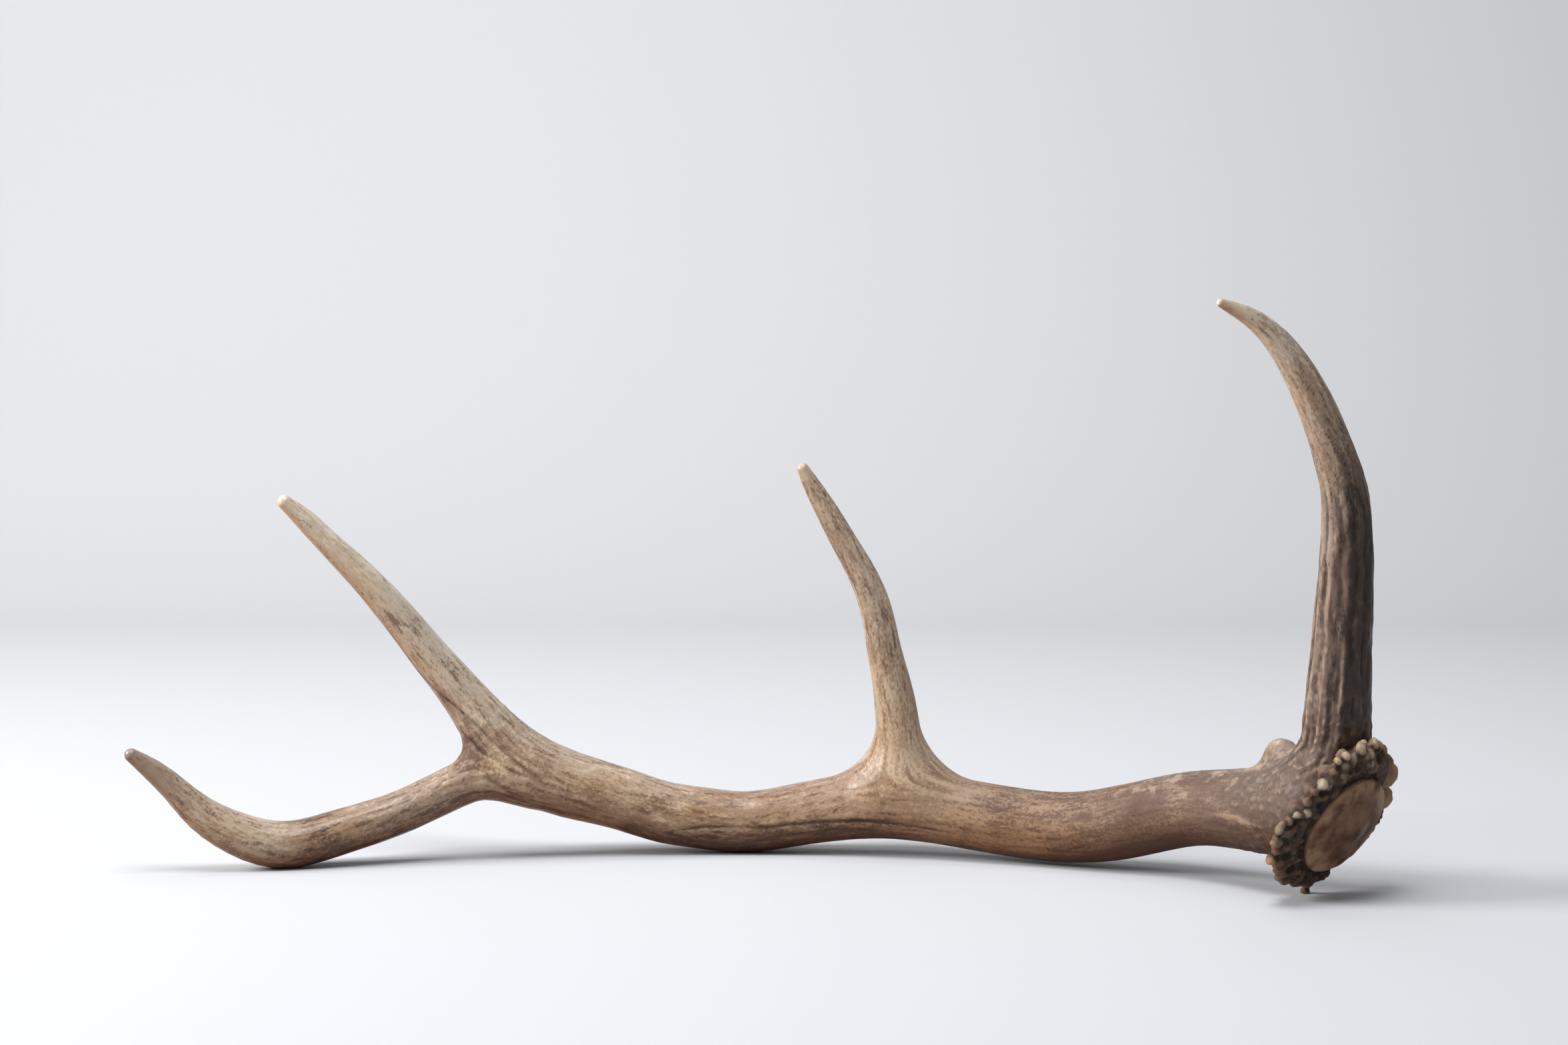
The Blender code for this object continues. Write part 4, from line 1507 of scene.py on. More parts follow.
@dataclass
class Marks:
    """The bone's colour marks, as one value a point for each of them.

    A band holds where a share is 0 and where it is 1. A pale number says how much paler a
    place is, from 0 to 1.
    """

    skin: Skin
    relief: Relief
    patch_cloud: Cloud = Cloud(Seed.PATCH, 34.0, 3)
    blotch_cloud: Cloud = Cloud(Seed.BLOTCH, 13.0, 3)
    grey_cloud: Cloud = Cloud(Seed.GREY, 22.0)
    rust_cloud: Cloud = Cloud(Seed.RUST, 28.0)
    crest_cloud: Cloud = Cloud(Seed.CREST, 6.0, 3)
    patch_pale: float = 0.08
    blotch_pale: float = 0.06
    stroke_depth: float = 0.24
    # painted light from above: upward faces towards the crown are paler
    painted_top_light: float = 0.08
    top_x: Band = (0.0, -60.0)
    top_level: Band = (0.1, 0.9)
    crest_pale: float = 0.17
    crest_x: Band = (165.0, 205.0)
    crest_level: Band = (0.2, 0.8)
    crest_band: Band = (0.1, 0.5)
    bez_pale: float = 0.22
    bez_level: Band = (0.35, 0.95)
    # first number: painted light on the brow's lit left side; second: painted shade over the whole brow
    brow_painted_light: Band = (0.32, 0.06)
    brow_z: Band = (70.0, 110.0)
    under_band: Band = (-0.15, 0.95)
    # painted shade and painted warm bounce light on faces that point down
    under_painted_shade: float = 0.08
    under_painted_bounce: float = 0.2
    grey_patch: float = 0.25
    # painted cool light from above: upward faces greyer, downward faces warmer
    painted_top_grey: float = 0.24
    rust_patch: float = 0.35
    dash_patch: float = 0.3
    # faces to the left, the lit side: painted light on the brow, and stronger crest wear there
    lit_side_band: Band = (-0.2, 0.9)
    rubbed_plain: float = 0.4
    ridge_wear_lit_side: Band = (0.1, 0.9)
    matte_x: Band = (20.0, 150.0)
    matte_z: Band = (110.0, 80.0)
    matte_crotch: float = 0.9
    hollow_rounds: int = 10
    deep_rounds: int = 60
    ring_band: Spot = (37.0, 16.0, 9.0)
    ring_depth: Band = (14.0, 8.0)
    # painted light: the ring's dark colour is thinned on the burr's top
    painted_light_angle: float = 100.0
    painted_light_band: Band = (34.0, 18.0)
    painted_light_share: float = 0.45
    seal_rim: Band = (15.0, 25.0)
    left_warm: tuple[Band, Band] = ((188.0, 197.0), (224.0, 214.0))
    right_warm: float = 0.8
    right_angle: float = 22.0
    right_band: Band = (40.0, 30.0)

    @staticmethod
    def flows(grain: Grain) -> tuple[Array, Array, Array]:
        """Grain coordinates of the beam and of the nearest tine, and the tine's share.

        Args:
            grain: the grain lines.

        Returns:
            The beam's, the tine's and the shares.
        """
        own = grain.places[Limb.BEAM].flow()
        weights = np.stack(grain.weights[1:], axis=1)
        best = weights.argmax(axis=1)
        other = np.zeros_like(own)
        for number, place in enumerate(grain.places[1:]):
            chosen = best == number
            other[chosen] = place.flow()[chosen]
        top = weights.max(axis=1)
        return own, other, top / (top + grain.weights[Limb.BEAM])

    def tones(self, grain: Grain) -> Array:
        """Paleness, greyness, rust and dashes, a row each, blended over the forks."""
        total = np.zeros((len(grain.surface.points), 4))
        sum_of = np.zeros(len(grain.surface.points))
        for branch, place, weight in zip(self.skin.branches(), grain.places, grain.weights):
            total += weight[:, None] * branch.tone(place.along)
            sum_of += weight
        return (total / sum_of[:, None]).T

    def warmth(self, angle: Array) -> Array:
        """How amber a pale lump is, from its angle round the burr."""
        turn = (angle + 180.0) % 360.0 - 180.0
        rise, fall = self.left_warm
        left = smooth_step(angle, *rise) * smooth_step(angle, *fall)
        return left + self.right_warm * smooth_step(np.abs(turn - self.right_angle), *self.right_band)

    def paleness(self, grain: Grain, wear_and_lit_side: Array) -> Array:
        """What is added to the branches' own paleness on strokes, crests and the bez, with painted light
        and shade on the brow and painted light on upward faces.

        Args:
            grain: the grain lines over the finished relief.
            wear_and_lit_side: how much each point faces the lit left side.

        Returns:
            What is added, at each point.
        """
        points = grain.surface.points
        level = grain.surface.normals[:, 2]
        total = -self.stroke_depth * sum(stroke.stain * stroke.share(points) for stroke in STROKES)
        crest = smooth_step(points[:, 0], *self.crest_x) * smooth_step(level, *self.crest_level)
        total += self.crest_pale * crest * smooth_step(self.crest_cloud.at(points), *self.crest_band)
        total += self.bez_pale * grain.weights[Limb.BEZ] * smooth_step(level, *self.bez_level)
        # painted light on the brow's lit left side, and painted shade over the brow
        worn, loss = self.brow_painted_light
        brow = grain.weights[Limb.BROW] * smooth_step(points[:, 2], *self.brow_z)
        total += brow * (worn * wear_and_lit_side - loss)
        # painted light on upward faces towards the crown
        top = smooth_step(level, *self.top_level) * smooth_step(points[:, 0], *self.top_x)
        return total + self.painted_top_light * top

    def on_bone(self, grain: Grain) -> Marking:
        """The marks that are seen on every length.

        Args:
            grain: the grain lines over the finished relief.

        Returns:
            A name and one value a point for each mark.
        """
        points, normals = grain.surface.points, grain.surface.normals
        pale, grey, rust, dash = self.tones(grain)
        tip, ridged = self.relief.tip(grain), self.relief.brow(grain)
        blotch = self.blotch_cloud.at(points)
        # under: how much a face points down; it paints shade and warm bounce light on the undersides
        under = smooth_step(-normals[:, 2], *self.under_band)
        # how much a face points left, towards the light; used for painted light on the brow
        wear_and_lit_side = smooth_step(-normals[:, 0], *self.lit_side_band)
        matte = smooth_step(points[:, 0], *self.matte_x) * smooth_step(points[:, 2], *self.matte_z)
        pale = pale + self.patch_pale * self.patch_cloud.at(points) + self.blotch_pale * blotch
        # painted light and shade from the paleness terms, and painted shade on the undersides
        pale += self.paleness(grain, wear_and_lit_side) - self.under_painted_shade * under * (1.0 - tip)
        least, more = self.ridge_wear_lit_side
        return {
            "pale": pale,
            # greyness, with painted cool top light on upward faces
            "grey": grey + self.grey_patch * self.grey_cloud.at(points) + self.painted_top_grey * normals[:, 2],
            # rust also holds painted warm bounce light on the undersides
            "rust": rust
            + self.rust_patch * self.rust_cloud.at(points) * (1.0 - tip)
            + self.under_painted_bounce * under,
            "dash": np.clip(dash + self.dash_patch * blotch, 0.0, 1.0),
            "polish": tip,
            "matte": np.maximum(matte, self.matte_crotch * CROTCH.share(points)),
            "ridged": ridged,
            # worn pale crests, which are real wear, made stronger on the brow's lit side as painted light
            "wear_and_lit_side": self.rubbed_plain * (1.0 - ridged) + ridged * (least + more * wear_and_lit_side),
            "under": under,
        }

    def on_burr(self, grain: Grain, ring: Array) -> Marking:
        """The marks of the burr and the seal.

        Args:
            grain: the grain lines over the finished relief.
            ring: how much each point is on the ring.

        Returns:
            A name and one value a point for each mark.
        """
        points = grain.surface.points
        burr = self.skin.burr
        _, _, angle = burr.polar(points)
        seal_reach, _, _ = burr.polar(points, burr.seal_middle)
        seal = self.relief.on_seal(points)
        # painted light on the top of the burr
        light = smooth_step(np.abs(angle - self.painted_light_angle), *self.painted_light_band)
        return {
            # depth in the hollows and pits, for grime and painted shade
            "deep": grain.surface.hollow(self.deep_rounds) + burr.shadow(points),
            "ring": ring * (1.0 - seal) * (1.0 - self.painted_light_share * light),
            "pearl": burr.paleness(points),
            "warm": self.warmth(angle),
            "seal": seal,
            "seal_rim": smooth_step(seal_reach, *self.seal_rim) * seal,
        }

    def paint(self, grain: Grain, streaks: Marking) -> Marking:
        """Every mark.

        Args:
            grain: the grain lines over the finished relief.
            streaks: the fields that were drawn out along them.

        Returns:
            A name and one row a point for each mark.
        """
        surface = grain.surface
        own, other, share = self.flows(grain)
        ring = self.skin.burr.on_ring(surface.points, self.ring_band, self.ring_depth)
        height = self.relief.made + self.skin.brow_ridge(surface.points) * self.relief.brow(grain)
        hollow = surface.blurred(height, self.hollow_rounds) - height
        along = {
            "fine": streaks["fine"],
            "mid": streaks["mid"],
            "hollow": hollow + ring * surface.hollow(self.hollow_rounds),
            "tine": share,
            "flow_a": own,
            "flow_b": other,
        }
        return along | self.on_bone(grain) | self.on_burr(grain, ring)


# ------------------------------------------------------------------ shader nodes


class Blend(Enum):
    """How two colours are put together."""

    MIX = "MIX"
    MULTIPLY = "MULTIPLY"
    OVERLAY = "OVERLAY"


Socket = bpy.types.NodeSocket
Value = float | Socket


class Graph:
    """A node tree that is wired in code."""

    COLUMN = 6
    GAP = (180, -220)

    def __init__(self, tree: bpy.types.NodeTree) -> None:
        """Keep the tree.

        Args:
            tree: a material's or a group's node tree.
        """
        self.tree = tree
        self.count = 0

    def node(self, kind: str, **settings: object) -> bpy.types.Node:
        """A new node."""
        made = self.tree.nodes.new(kind)
        column, row = divmod(self.count, self.COLUMN)
        made.location = (column * self.GAP[0], row * self.GAP[1])
        self.count += 1
        for name, value in settings.items():
            setattr(made, name, value)
        return made

    def feed(self, socket: Socket, value: object) -> None:
        """Link a socket to the value, or set it."""
        if isinstance(value, bpy.types.NodeSocket):
            self.tree.links.new(value, socket)
        elif isinstance(value, tuple) and len(value) == 3 and socket.type == "RGBA":
            socket.default_value = (*value, 1.0)
        else:
            socket.default_value = value

    def maths(self, work: str, first: Value, second: Value = 0.5, clamp: bool = False) -> Socket:
        """One sum on two values."""
        made = self.node("ShaderNodeMath", operation=work, use_clamp=clamp)
        self.feed(made.inputs[0], first)
        self.feed(made.inputs[1], second)
        return made.outputs[0]

    def times(self, first: Value, second: Value, clamp: bool = False) -> Socket:
        """Two values multiplied."""
        return self.maths("MULTIPLY", first, second, clamp)

    def plus(self, first: Value, second: Value, clamp: bool = False) -> Socket:
        """Two values added."""
        return self.maths("ADD", first, second, clamp)

    def rest(self, value: Value, clamp: bool = False) -> Socket:
        """One less the value."""
        return self.maths("SUBTRACT", 1.0, value, clamp)

    def centred(self, value: Value, weight: Value) -> Socket:
        """A value of 0 to 1 moved to lie round 0, and weighted."""
        return self.times(self.maths("SUBTRACT", value, 0.5), weight)

    def spread(self, value: Value, low: float, high: float, out: Band = (0.0, 1.0)) -> Socket:
        """The value carried from one range to another with a soft step."""
        made = self.node("ShaderNodeMapRange", interpolation_type="SMOOTHSTEP")
        for socket, given in zip(made.inputs, (value, low, high, *out)):
            self.feed(socket, given)
        return made.outputs[0]

    def mixed(self, given: tuple[object, ...], ports: tuple[int, ...], **settings: object) -> Socket:
        """Two values or colours put together.

        Args:
            given: the share of the second, the first and the second.
            ports: the numbers of the three inputs, and of the output.
            settings: the node's settings.

        Returns:
            The result.
        """
        made = self.node("ShaderNodeMix", clamp_factor=True, **settings)
        for number, value in zip(ports, given):
            self.feed(made.inputs[number], value)
        return made.outputs[ports[-1]]

    def blend(self, share: Value, first: object, second: object, kind: Blend = Blend.MIX) -> Socket:
        """Two colours put together."""
        return self.mixed((share, first, second), (0, 6, 7, 2), data_type="RGBA", blend_type=kind.value)

    def between(self, share: Value, first: Value, second: Value) -> Socket:
        """A value between two others."""
        return self.mixed((share, first, second), (0, 2, 3, 0), data_type="FLOAT")

    def stretched(self, vector: Socket, scales: Spot) -> Socket:
        """A vector with each of its parts scaled."""
        made = self.node("ShaderNodeVectorMath", operation="MULTIPLY")
        self.feed(made.inputs[0], vector)
        made.inputs[1].default_value = scales
        return made.outputs[0]

    def noise(self, vector: Socket, scale: Value, detail: float = 2.0, rough: float = 0.5) -> Socket:
        """Soft random values of about 0 to 1."""
        made = self.node("ShaderNodeTexNoise")
        self.feed(made.inputs["Vector"], vector)
        self.feed(made.inputs["Scale"], scale)
        made.inputs["Detail"].default_value = detail
        made.inputs["Roughness"].default_value = rough
        return made.outputs["Fac"]

    def ramp(self, value: Socket, stops: Sequence[tuple[float, Colour]]) -> Socket:
        """A colour read off a row of stops.

        Args:
            value: where it is read, from 0 to 1.
            stops: each stop's place and colour.

        Returns:
            The colour.
        """
        made = self.node("ShaderNodeValToRGB")
        made.color_ramp.interpolation = "EASE"
        bits = made.color_ramp.elements
        while len(bits) < len(stops):
            bits.new(0.5)
        for bit, (at, colour) in zip(bits, stops):
            bit.position = at
            bit.color = (*colour, 1.0)
        self.feed(made.inputs[0], value)
        return made.outputs[0]

    def greyed(self, colour: Socket, share: Socket) -> Socket:
        """The colour with a share of its strength taken out."""
        made = self.node("ShaderNodeHueSaturation")
        self.feed(made.inputs["Color"], colour)
        self.feed(made.inputs["Saturation"], self.rest(share, clamp=True))
        return made.outputs[0]

    def mark(self, name: str, vector: bool = False) -> Socket:
        """One of the body's marks."""
        made = self.node("ShaderNodeAttribute", attribute_name=name)
        return made.outputs["Vector" if vector else "Fac"]

    def marks(self, *labels: str) -> dict[str, Socket]:
        """Marks by their names with a capital, to feed a group."""
        return {label: self.mark(label.lower()) for label in labels}

    def place(self, group: bpy.types.NodeTree, **values: object) -> dict[str, Socket]:
        """Place a node group."""
        made = self.node("ShaderNodeGroup", node_tree=group)
        for name, value in values.items():
            self.feed(made.inputs[name.replace("_", " ")], value)
        return {socket.name: socket for socket in made.outputs}


class Kind(Enum):
    """What a group's socket carries."""

    VALUE = "NodeSocketFloat"
    COLOUR = "NodeSocketColor"
    VECTOR = "NodeSocketVector"


def plain_sockets(*names: str) -> dict[str, Kind]:
    """Sockets by name, each of which carries a value."""
    return dict.fromkeys(names, Kind.VALUE)


class Group:
    """A node group with named inputs and outputs."""

    def __init__(self, name: str, inputs: dict[str, Kind], outputs: dict[str, Kind]) -> None:
        """Make the group.

        Args:
            name: what it is called.
            inputs: each input's name and kind.
            outputs: each output's name and kind.
        """
        self.tree = bpy.data.node_groups.new(name, "ShaderNodeTree")
        for side, sockets in (("INPUT", inputs), ("OUTPUT", outputs)):
            for label, kind in sockets.items():
                self.tree.interface.new_socket(label, in_out=side, socket_type=kind.value)
        self.graph = Graph(self.tree)
        self.given = {s.name: s for s in self.graph.node("NodeGroupInput").outputs if s.name}
        self.result = {s.name: s for s in self.graph.node("NodeGroupOutput").inputs if s.name}

    def put_out(self, name: str, value: object) -> None:
        """Give one of the outputs its value."""
        self.graph.feed(self.result[name], value)


@dataclass(frozen=True)
class BoneColours:
    """The bone's colours, from the darkest stain to bare polished bone."""

    umber: Colour = (0.034, 0.017, 0.009)
    brown: Colour = (0.122, 0.062, 0.032)
    tan: Colour = (0.290, 0.180, 0.100)
    light: Colour = (0.475, 0.345, 0.218)
    cream: Colour = (0.680, 0.570, 0.430)
    rust: Colour = (0.420, 0.200, 0.085)
    # the hollows' darkest colour: grime, and painted shade in crevices and pits
    dirt_and_shade: Colour = (0.018, 0.010, 0.006)
    lump: Colour = (0.092, 0.041, 0.021)
    pearl: Colour = (0.420, 0.365, 0.265)
    amber: Colour = (0.480, 0.260, 0.110)
    seal_rim: Colour = (0.285, 0.172, 0.095)
    seal_middle: Colour = (0.172, 0.085, 0.041)


@dataclass
class BoneGroups:
    """The effects that every length of the antler shares.

    One row a fibre: its name, its stretch along the grain, its scale and its detail. One row a
    stain: its fibre and its weight. One row a streak: its mark, and its weight in a fork and
    off it.
    """

    colours: BoneColours
    plain_shift: float = 0.085
    stain_shift: float = 0.29
    strength_in: Band = (-0.1, 0.7)
    strength_out: Band = (0.25, 1.0)
    rust_share: float = 0.4
    grey_share: float = 0.62
    fibre_rows: tuple[tuple[str, float, float, float], ...] = (
        ("Hair", 0.42, 900.0, 2.0),
        ("Fleck", 0.30, 390.0, 2.0),
        ("Patch", 0.35, 150.0, 3.0),
    )
    fibre_rough: float = 0.55
    fork_scale: float = 0.7
    stain_amount: Band = (-0.9, 0.7)
    stain_rows: tuple[tuple[str, float], ...] = (("Hair", 3.9), ("Fleck", 2.6), ("Patch", 2.2))
    streak_rows: tuple[tuple[str, float, float], ...] = (("Fine", 0.7, 0.34), ("Mid", 0.4, 0.16))
    stain_band: Band = (-1.2, 1.2)
    dash_band: Band = (1.3, 2.6)
    filled_band: Band = (0.0, 0.28)
    stood_band: Band = (-0.03, -0.28)
    pore_noise: Band = (4.0, 0.65)
    mottle_scale: float = 0.12
    mottle_noise: Band = (3.0, 0.55)
    streak_rough: float = 0.25
    mottle_rough: float = 0.35
    polish_rough: float = 0.06
    dirty_rough: float = 0.35
    rough_band: Band = (0.12, 0.92)

    def __post_init__(self) -> None:
        """Build each group once."""
        self.tone = self.make_tone()
        self.fibre = self.make_fibre()
        self.stain = self.make_stain()
        self.dirt_and_shade = self.make_dirt_and_shade()
        self.pores = self.make_pores()
        self.polish = self.make_polish()

    def make_tone(self) -> bpy.types.NodeTree:
        """The bone's own colour, from how pale, grey and rusty it is."""
        c = self.colours
        group = Group(
            "bone_tone",
            plain_sockets("Pale", "Grey", "Rust", "Stain", "Strength"),
            {"Colour": Kind.COLOUR},
        )
        g, given = group.graph, group.given
        shift = g.maths("SUBTRACT", self.plain_shift, g.times(given["Stain"], self.stain_shift))
        shift = g.times(shift, g.spread(given["Strength"], *self.strength_in, self.strength_out))
        pale = g.plus(given["Pale"], shift, clamp=True)
        row = (c.umber, c.brown, c.tan, c.light, c.cream)
        base = g.ramp(pale, [(number / 4, colour) for number, colour in enumerate(row)])
        rust = g.times(given["Rust"], self.rust_share, clamp=True)
        rusty = g.blend(rust, base, c.rust, Blend.OVERLAY)
        grey = g.times(given["Grey"], self.grey_share, clamp=True)
        group.put_out("Colour", g.greyed(rusty, grey))
        return group.tree

    def make_fibre(self) -> bpy.types.NodeTree:
        """Streaks of three sizes along the grain, in the beam's and the tine's coordinates."""
        group = Group(
            "grain_fibre",
            {"Beam Flow": Kind.VECTOR, "Tine Flow": Kind.VECTOR, "Tine": Kind.VALUE},
            plain_sockets(*(name for name, *_ in self.fibre_rows), "Steady"),
        )
        g, given = group.graph, group.given
        both = g.times(given["Tine"], g.rest(given["Tine"]))
        steady = g.rest(g.times(both, 4.0), clamp=True)
        loose = g.node("ShaderNodeTexCoord").outputs["Object"]
        for name, along, scale, detail in self.fibre_rows:
            found = [
                g.noise(g.stretched(given[flow], (along, 1.0, 1.0)), scale, detail, self.fibre_rough)
                for flow in ("Beam Flow", "Tine Flow")
            ]
            fork = g.noise(loose, self.fork_scale * scale, detail, self.fibre_rough)
            group.put_out(name, g.between(steady, fork, g.between(given["Tine"], *found)))
        group.put_out("Steady", steady)
        return group.tree

    def make_stain(self) -> bpy.types.NodeTree:
        """Brown staining in short flecks along the grain, gathered in patches."""
        inputs = ("Hair", "Fleck", "Patch", "Fine", "Mid", "Amount", "Steady", "Speck", "Speckle")
        group = Group("grain_stain", plain_sockets(*inputs), plain_sockets("Stain", "Dash"))
        g, given = group.graph, group.given
        total = g.spread(given["Amount"], 0.0, 1.0, self.stain_amount)
        for name, weight in self.stain_rows:
            total = g.plus(total, g.centred(given[name], weight))
        total = g.plus(total, g.centred(given["Speck"], given["Speckle"]))
        for name, fork, weight in self.streak_rows:
            share = g.between(given["Steady"], fork, weight)
            total = g.plus(total, g.times(given[name], share))
        group.put_out("Stain", g.spread(total, *self.stain_band))
        group.put_out("Dash", g.spread(g.plus(total, given["Fine"]), *self.dash_band))
        return group.tree

    def make_dirt_and_shade(self) -> bpy.types.NodeTree:
        """Dark grime and painted shade in the hollows, and a worn pale edge on the lumps."""
        group = Group(
            "crevice_dirt_and_shade",
            plain_sockets("Hollow", "Darkening", "Worn", "Broken")
            | {"Colour": Kind.COLOUR, "Pale": Kind.COLOUR},
            {"Colour": Kind.COLOUR, "Darkened": Kind.VALUE},
        )
        g, given = group.graph, group.given
        filled = g.spread(given["Hollow"], *self.filled_band)
        darkened = g.times(filled, given["Darkening"], clamp=True)
        stood = g.times(g.spread(given["Hollow"], *self.stood_band), given["Worn"], clamp=True)
        worn = g.blend(g.times(stood, given["Broken"]), given["Colour"], given["Pale"])
        group.put_out("Colour", g.blend(darkened, worn, self.colours.dirt_and_shade))
        group.put_out("Darkened", darkened)
        return group.tree

    def make_pores(self) -> bpy.types.NodeTree:
        """Pin-prick pores and a faint unevenness."""
        group = Group("bone_pores", plain_sockets("Scale"), plain_sockets("Height", "Mottle"))
        g, given = group.graph, group.given
        where = g.node("ShaderNodeTexCoord").outputs["Object"]
        group.put_out("Height", g.noise(where, given["Scale"], *self.pore_noise))
        wide = g.times(given["Scale"], self.mottle_scale)
        group.put_out("Mottle", g.noise(where, wide, *self.mottle_noise))
        return group.tree

    def make_polish(self) -> bpy.types.NodeTree:
        """Roughness, from how polished the bone is and how much its hollows are darkened."""
        group = Group(
            "bone_polish",
            plain_sockets("Polish", "Darkened", "Streak", "Mottle", "Plain"),
            plain_sockets("Roughness"),
        )
        g, given = group.graph, group.given
        uneven = g.centred(given["Streak"], self.streak_rough)
        mottle = g.centred(given["Mottle"], self.mottle_rough)
        plain = g.plus(given["Plain"], g.plus(uneven, mottle))
        polished = g.maths("SUBTRACT", plain, g.times(given["Polish"], self.polish_rough))
        rough = g.plus(polished, g.times(given["Darkened"], self.dirty_rough))
        group.put_out("Roughness", g.spread(rough, 0.0, 1.0, self.rough_band))
        return group.tree


@dataclass(frozen=True)
class BoneFinish:
    """The finish of one length of the antler.

    A pair holds what plain bone has and what matt or ridged bone has.
    """

    roughness: Band = (0.36, 0.58)
    ridged_rough: float = 0.5
    dash_strength: Band = (0.5, 0.1)
    dash_colour: Colour = (0.24, 0.15, 0.10)
    speckle: Band = (1.2, 3.6)
    stain_strength: Band = (1.0, 0.55)
    fleck_calm: float = 0.5
    patch_calm: float = 0.8
    # how strongly grooves darken: grime and painted shade
    groove_dirt_and_shade: Band = (0.45, 0.7)
    worn_edge: float = 0.8
    broken: Band = (0.0, 0.9)
    broken_band: Band = (0.40, 0.56)
    worn_colours: tuple[Colour, Colour] = ((0.480, 0.370, 0.260), (0.360, 0.235, 0.150))
    # painted shade and painted warm bounce light, multiplied over faces that point down
    painted_under_colour: Colour = (0.45, 0.255, 0.132)
    painted_under_share: float = 0.88
    pore_scale: float = 700.0
    coat: float = 0.13
    tip_coat: float = 0.15
    bare_marks: tuple[str, ...] = ("under", "matte", "ring")
    bump_mm: float = 0.09
    bump_strength: float = 0.6
    pore_height: float = 0.5
    specular: float = 0.28
    coat_roughness: float = 0.38

    def make(self, name: str, groups: BoneGroups) -> bpy.types.Material:
        """Build the material.

        Args:
            name: the material's name.
            groups: the shared effects.

        Returns:
            The material.
        """
        material = bpy.data.materials.new(name)
        material.use_nodes = True
        g = Graph(material.node_tree)
        matte, ridged = g.mark("matte"), g.mark("ridged")
        fibre = g.place(
            groups.fibre,
            Beam_Flow=g.mark("flow_a", True),
            Tine_Flow=g.mark("flow_b", True),
            Tine=g.mark("tine"),
        )
        pores = g.place(groups.pores, Scale=self.pore_scale)
        stain = g.place(
            groups.stain,
            Hair=fibre["Hair"],
            Fleck=g.between(g.times(matte, self.fleck_calm), fibre["Fleck"], 0.5),
            Patch=g.between(g.times(matte, self.patch_calm), fibre["Patch"], 0.5),
            Amount=g.mark("dash"),
            Steady=fibre["Steady"],
            Speck=pores["Height"],
            Speckle=g.between(matte, *self.speckle),
            **g.marks("Fine", "Mid"),
        )
        colour = g.place(
            groups.tone,
            Stain=stain["Stain"],
            Strength=g.times(g.mark("dash"), g.between(matte, *self.stain_strength)),
            **g.marks("Pale", "Grey", "Rust"),
        )["Colour"]
        dashes = g.times(stain["Dash"], g.between(matte, *self.dash_strength))
        whole = g.spread(fibre["Fleck"], *self.broken_band)
        # grime and painted shade in the grooves, and pale worn crests
        dirt_and_shade = g.place(
            groups.dirt_and_shade,
            Colour=g.blend(dashes, colour, self.dash_colour, Blend.MULTIPLY),
            Hollow=g.mark("hollow"),
            Darkening=g.between(ridged, *self.groove_dirt_and_shade),
            # worn pale crests; on the brow they follow the lit side, which is painted light
            Worn=g.times(g.mark("wear_and_lit_side"), self.worn_edge),
            Broken=g.between(g.between(ridged, *self.broken), 1.0, whole),
            Pale=g.blend(ridged, *self.worn_colours),
        )
        # painted shade and warm bounce light on the undersides
        painted_under_shade = g.times(g.mark("under"), self.painted_under_share)
        colour = g.blend(painted_under_shade, dirt_and_shade["Colour"], self.painted_under_colour, Blend.MULTIPLY)
        dull = g.maths("MAXIMUM", matte, g.times(ridged, self.ridged_rough))
        rough = g.place(
            groups.polish,
            Polish=g.mark("polish"),
            Darkened=dirt_and_shade["Darkened"],
            Streak=fibre["Fleck"],
            Mottle=pores["Mottle"],
            Plain=g.between(dull, *self.roughness),
        )["Roughness"]
        height = g.plus(fibre["Hair"], g.times(pores["Height"], self.pore_height))
        shader = material.node_tree.nodes["Principled BSDF"]
        for label, value in {
            "Base Color": self.burr_colour(g, groups.colours, colour, pores["Mottle"]),
            "Roughness": rough,
            "Normal": self.bumped(g, height),
            "Specular IOR Level": self.specular,
            "Coat Roughness": self.coat_roughness,
            "Coat Weight": self.coated(g),
        }.items():
            g.feed(shader.inputs[label], value)
        return material

    def bumped(self, g: Graph, height: Socket) -> Socket:
        """The fine relief that only the light sees.

        Args:
            g: the material's graph.
            height: how high each place is, from 0 to 1.

        Returns:
            The changed normal.
        """
        bump = g.node("ShaderNodeBump")
        bump.inputs["Strength"].default_value = self.bump_strength
        bump.inputs["Distance"].default_value = self.bump_mm * MM
        g.feed(bump.inputs["Height"], height)
        return bump.outputs["Normal"]

    def coated(self, g: Graph) -> Socket:
        """How much worn sheen there is, more at the tips and less on matt bone."""
        total = g.plus(g.times(g.mark("polish"), self.tip_coat), self.coat)
        for name in self.bare_marks:
            total = g.times(total, g.rest(g.mark(name), clamp=True))
        return total

    def burr_colour(self, g: Graph, c: BoneColours, colour: Socket, mottle: Socket) -> Socket:
        """The plain colour of a length without the burr."""
        return colour


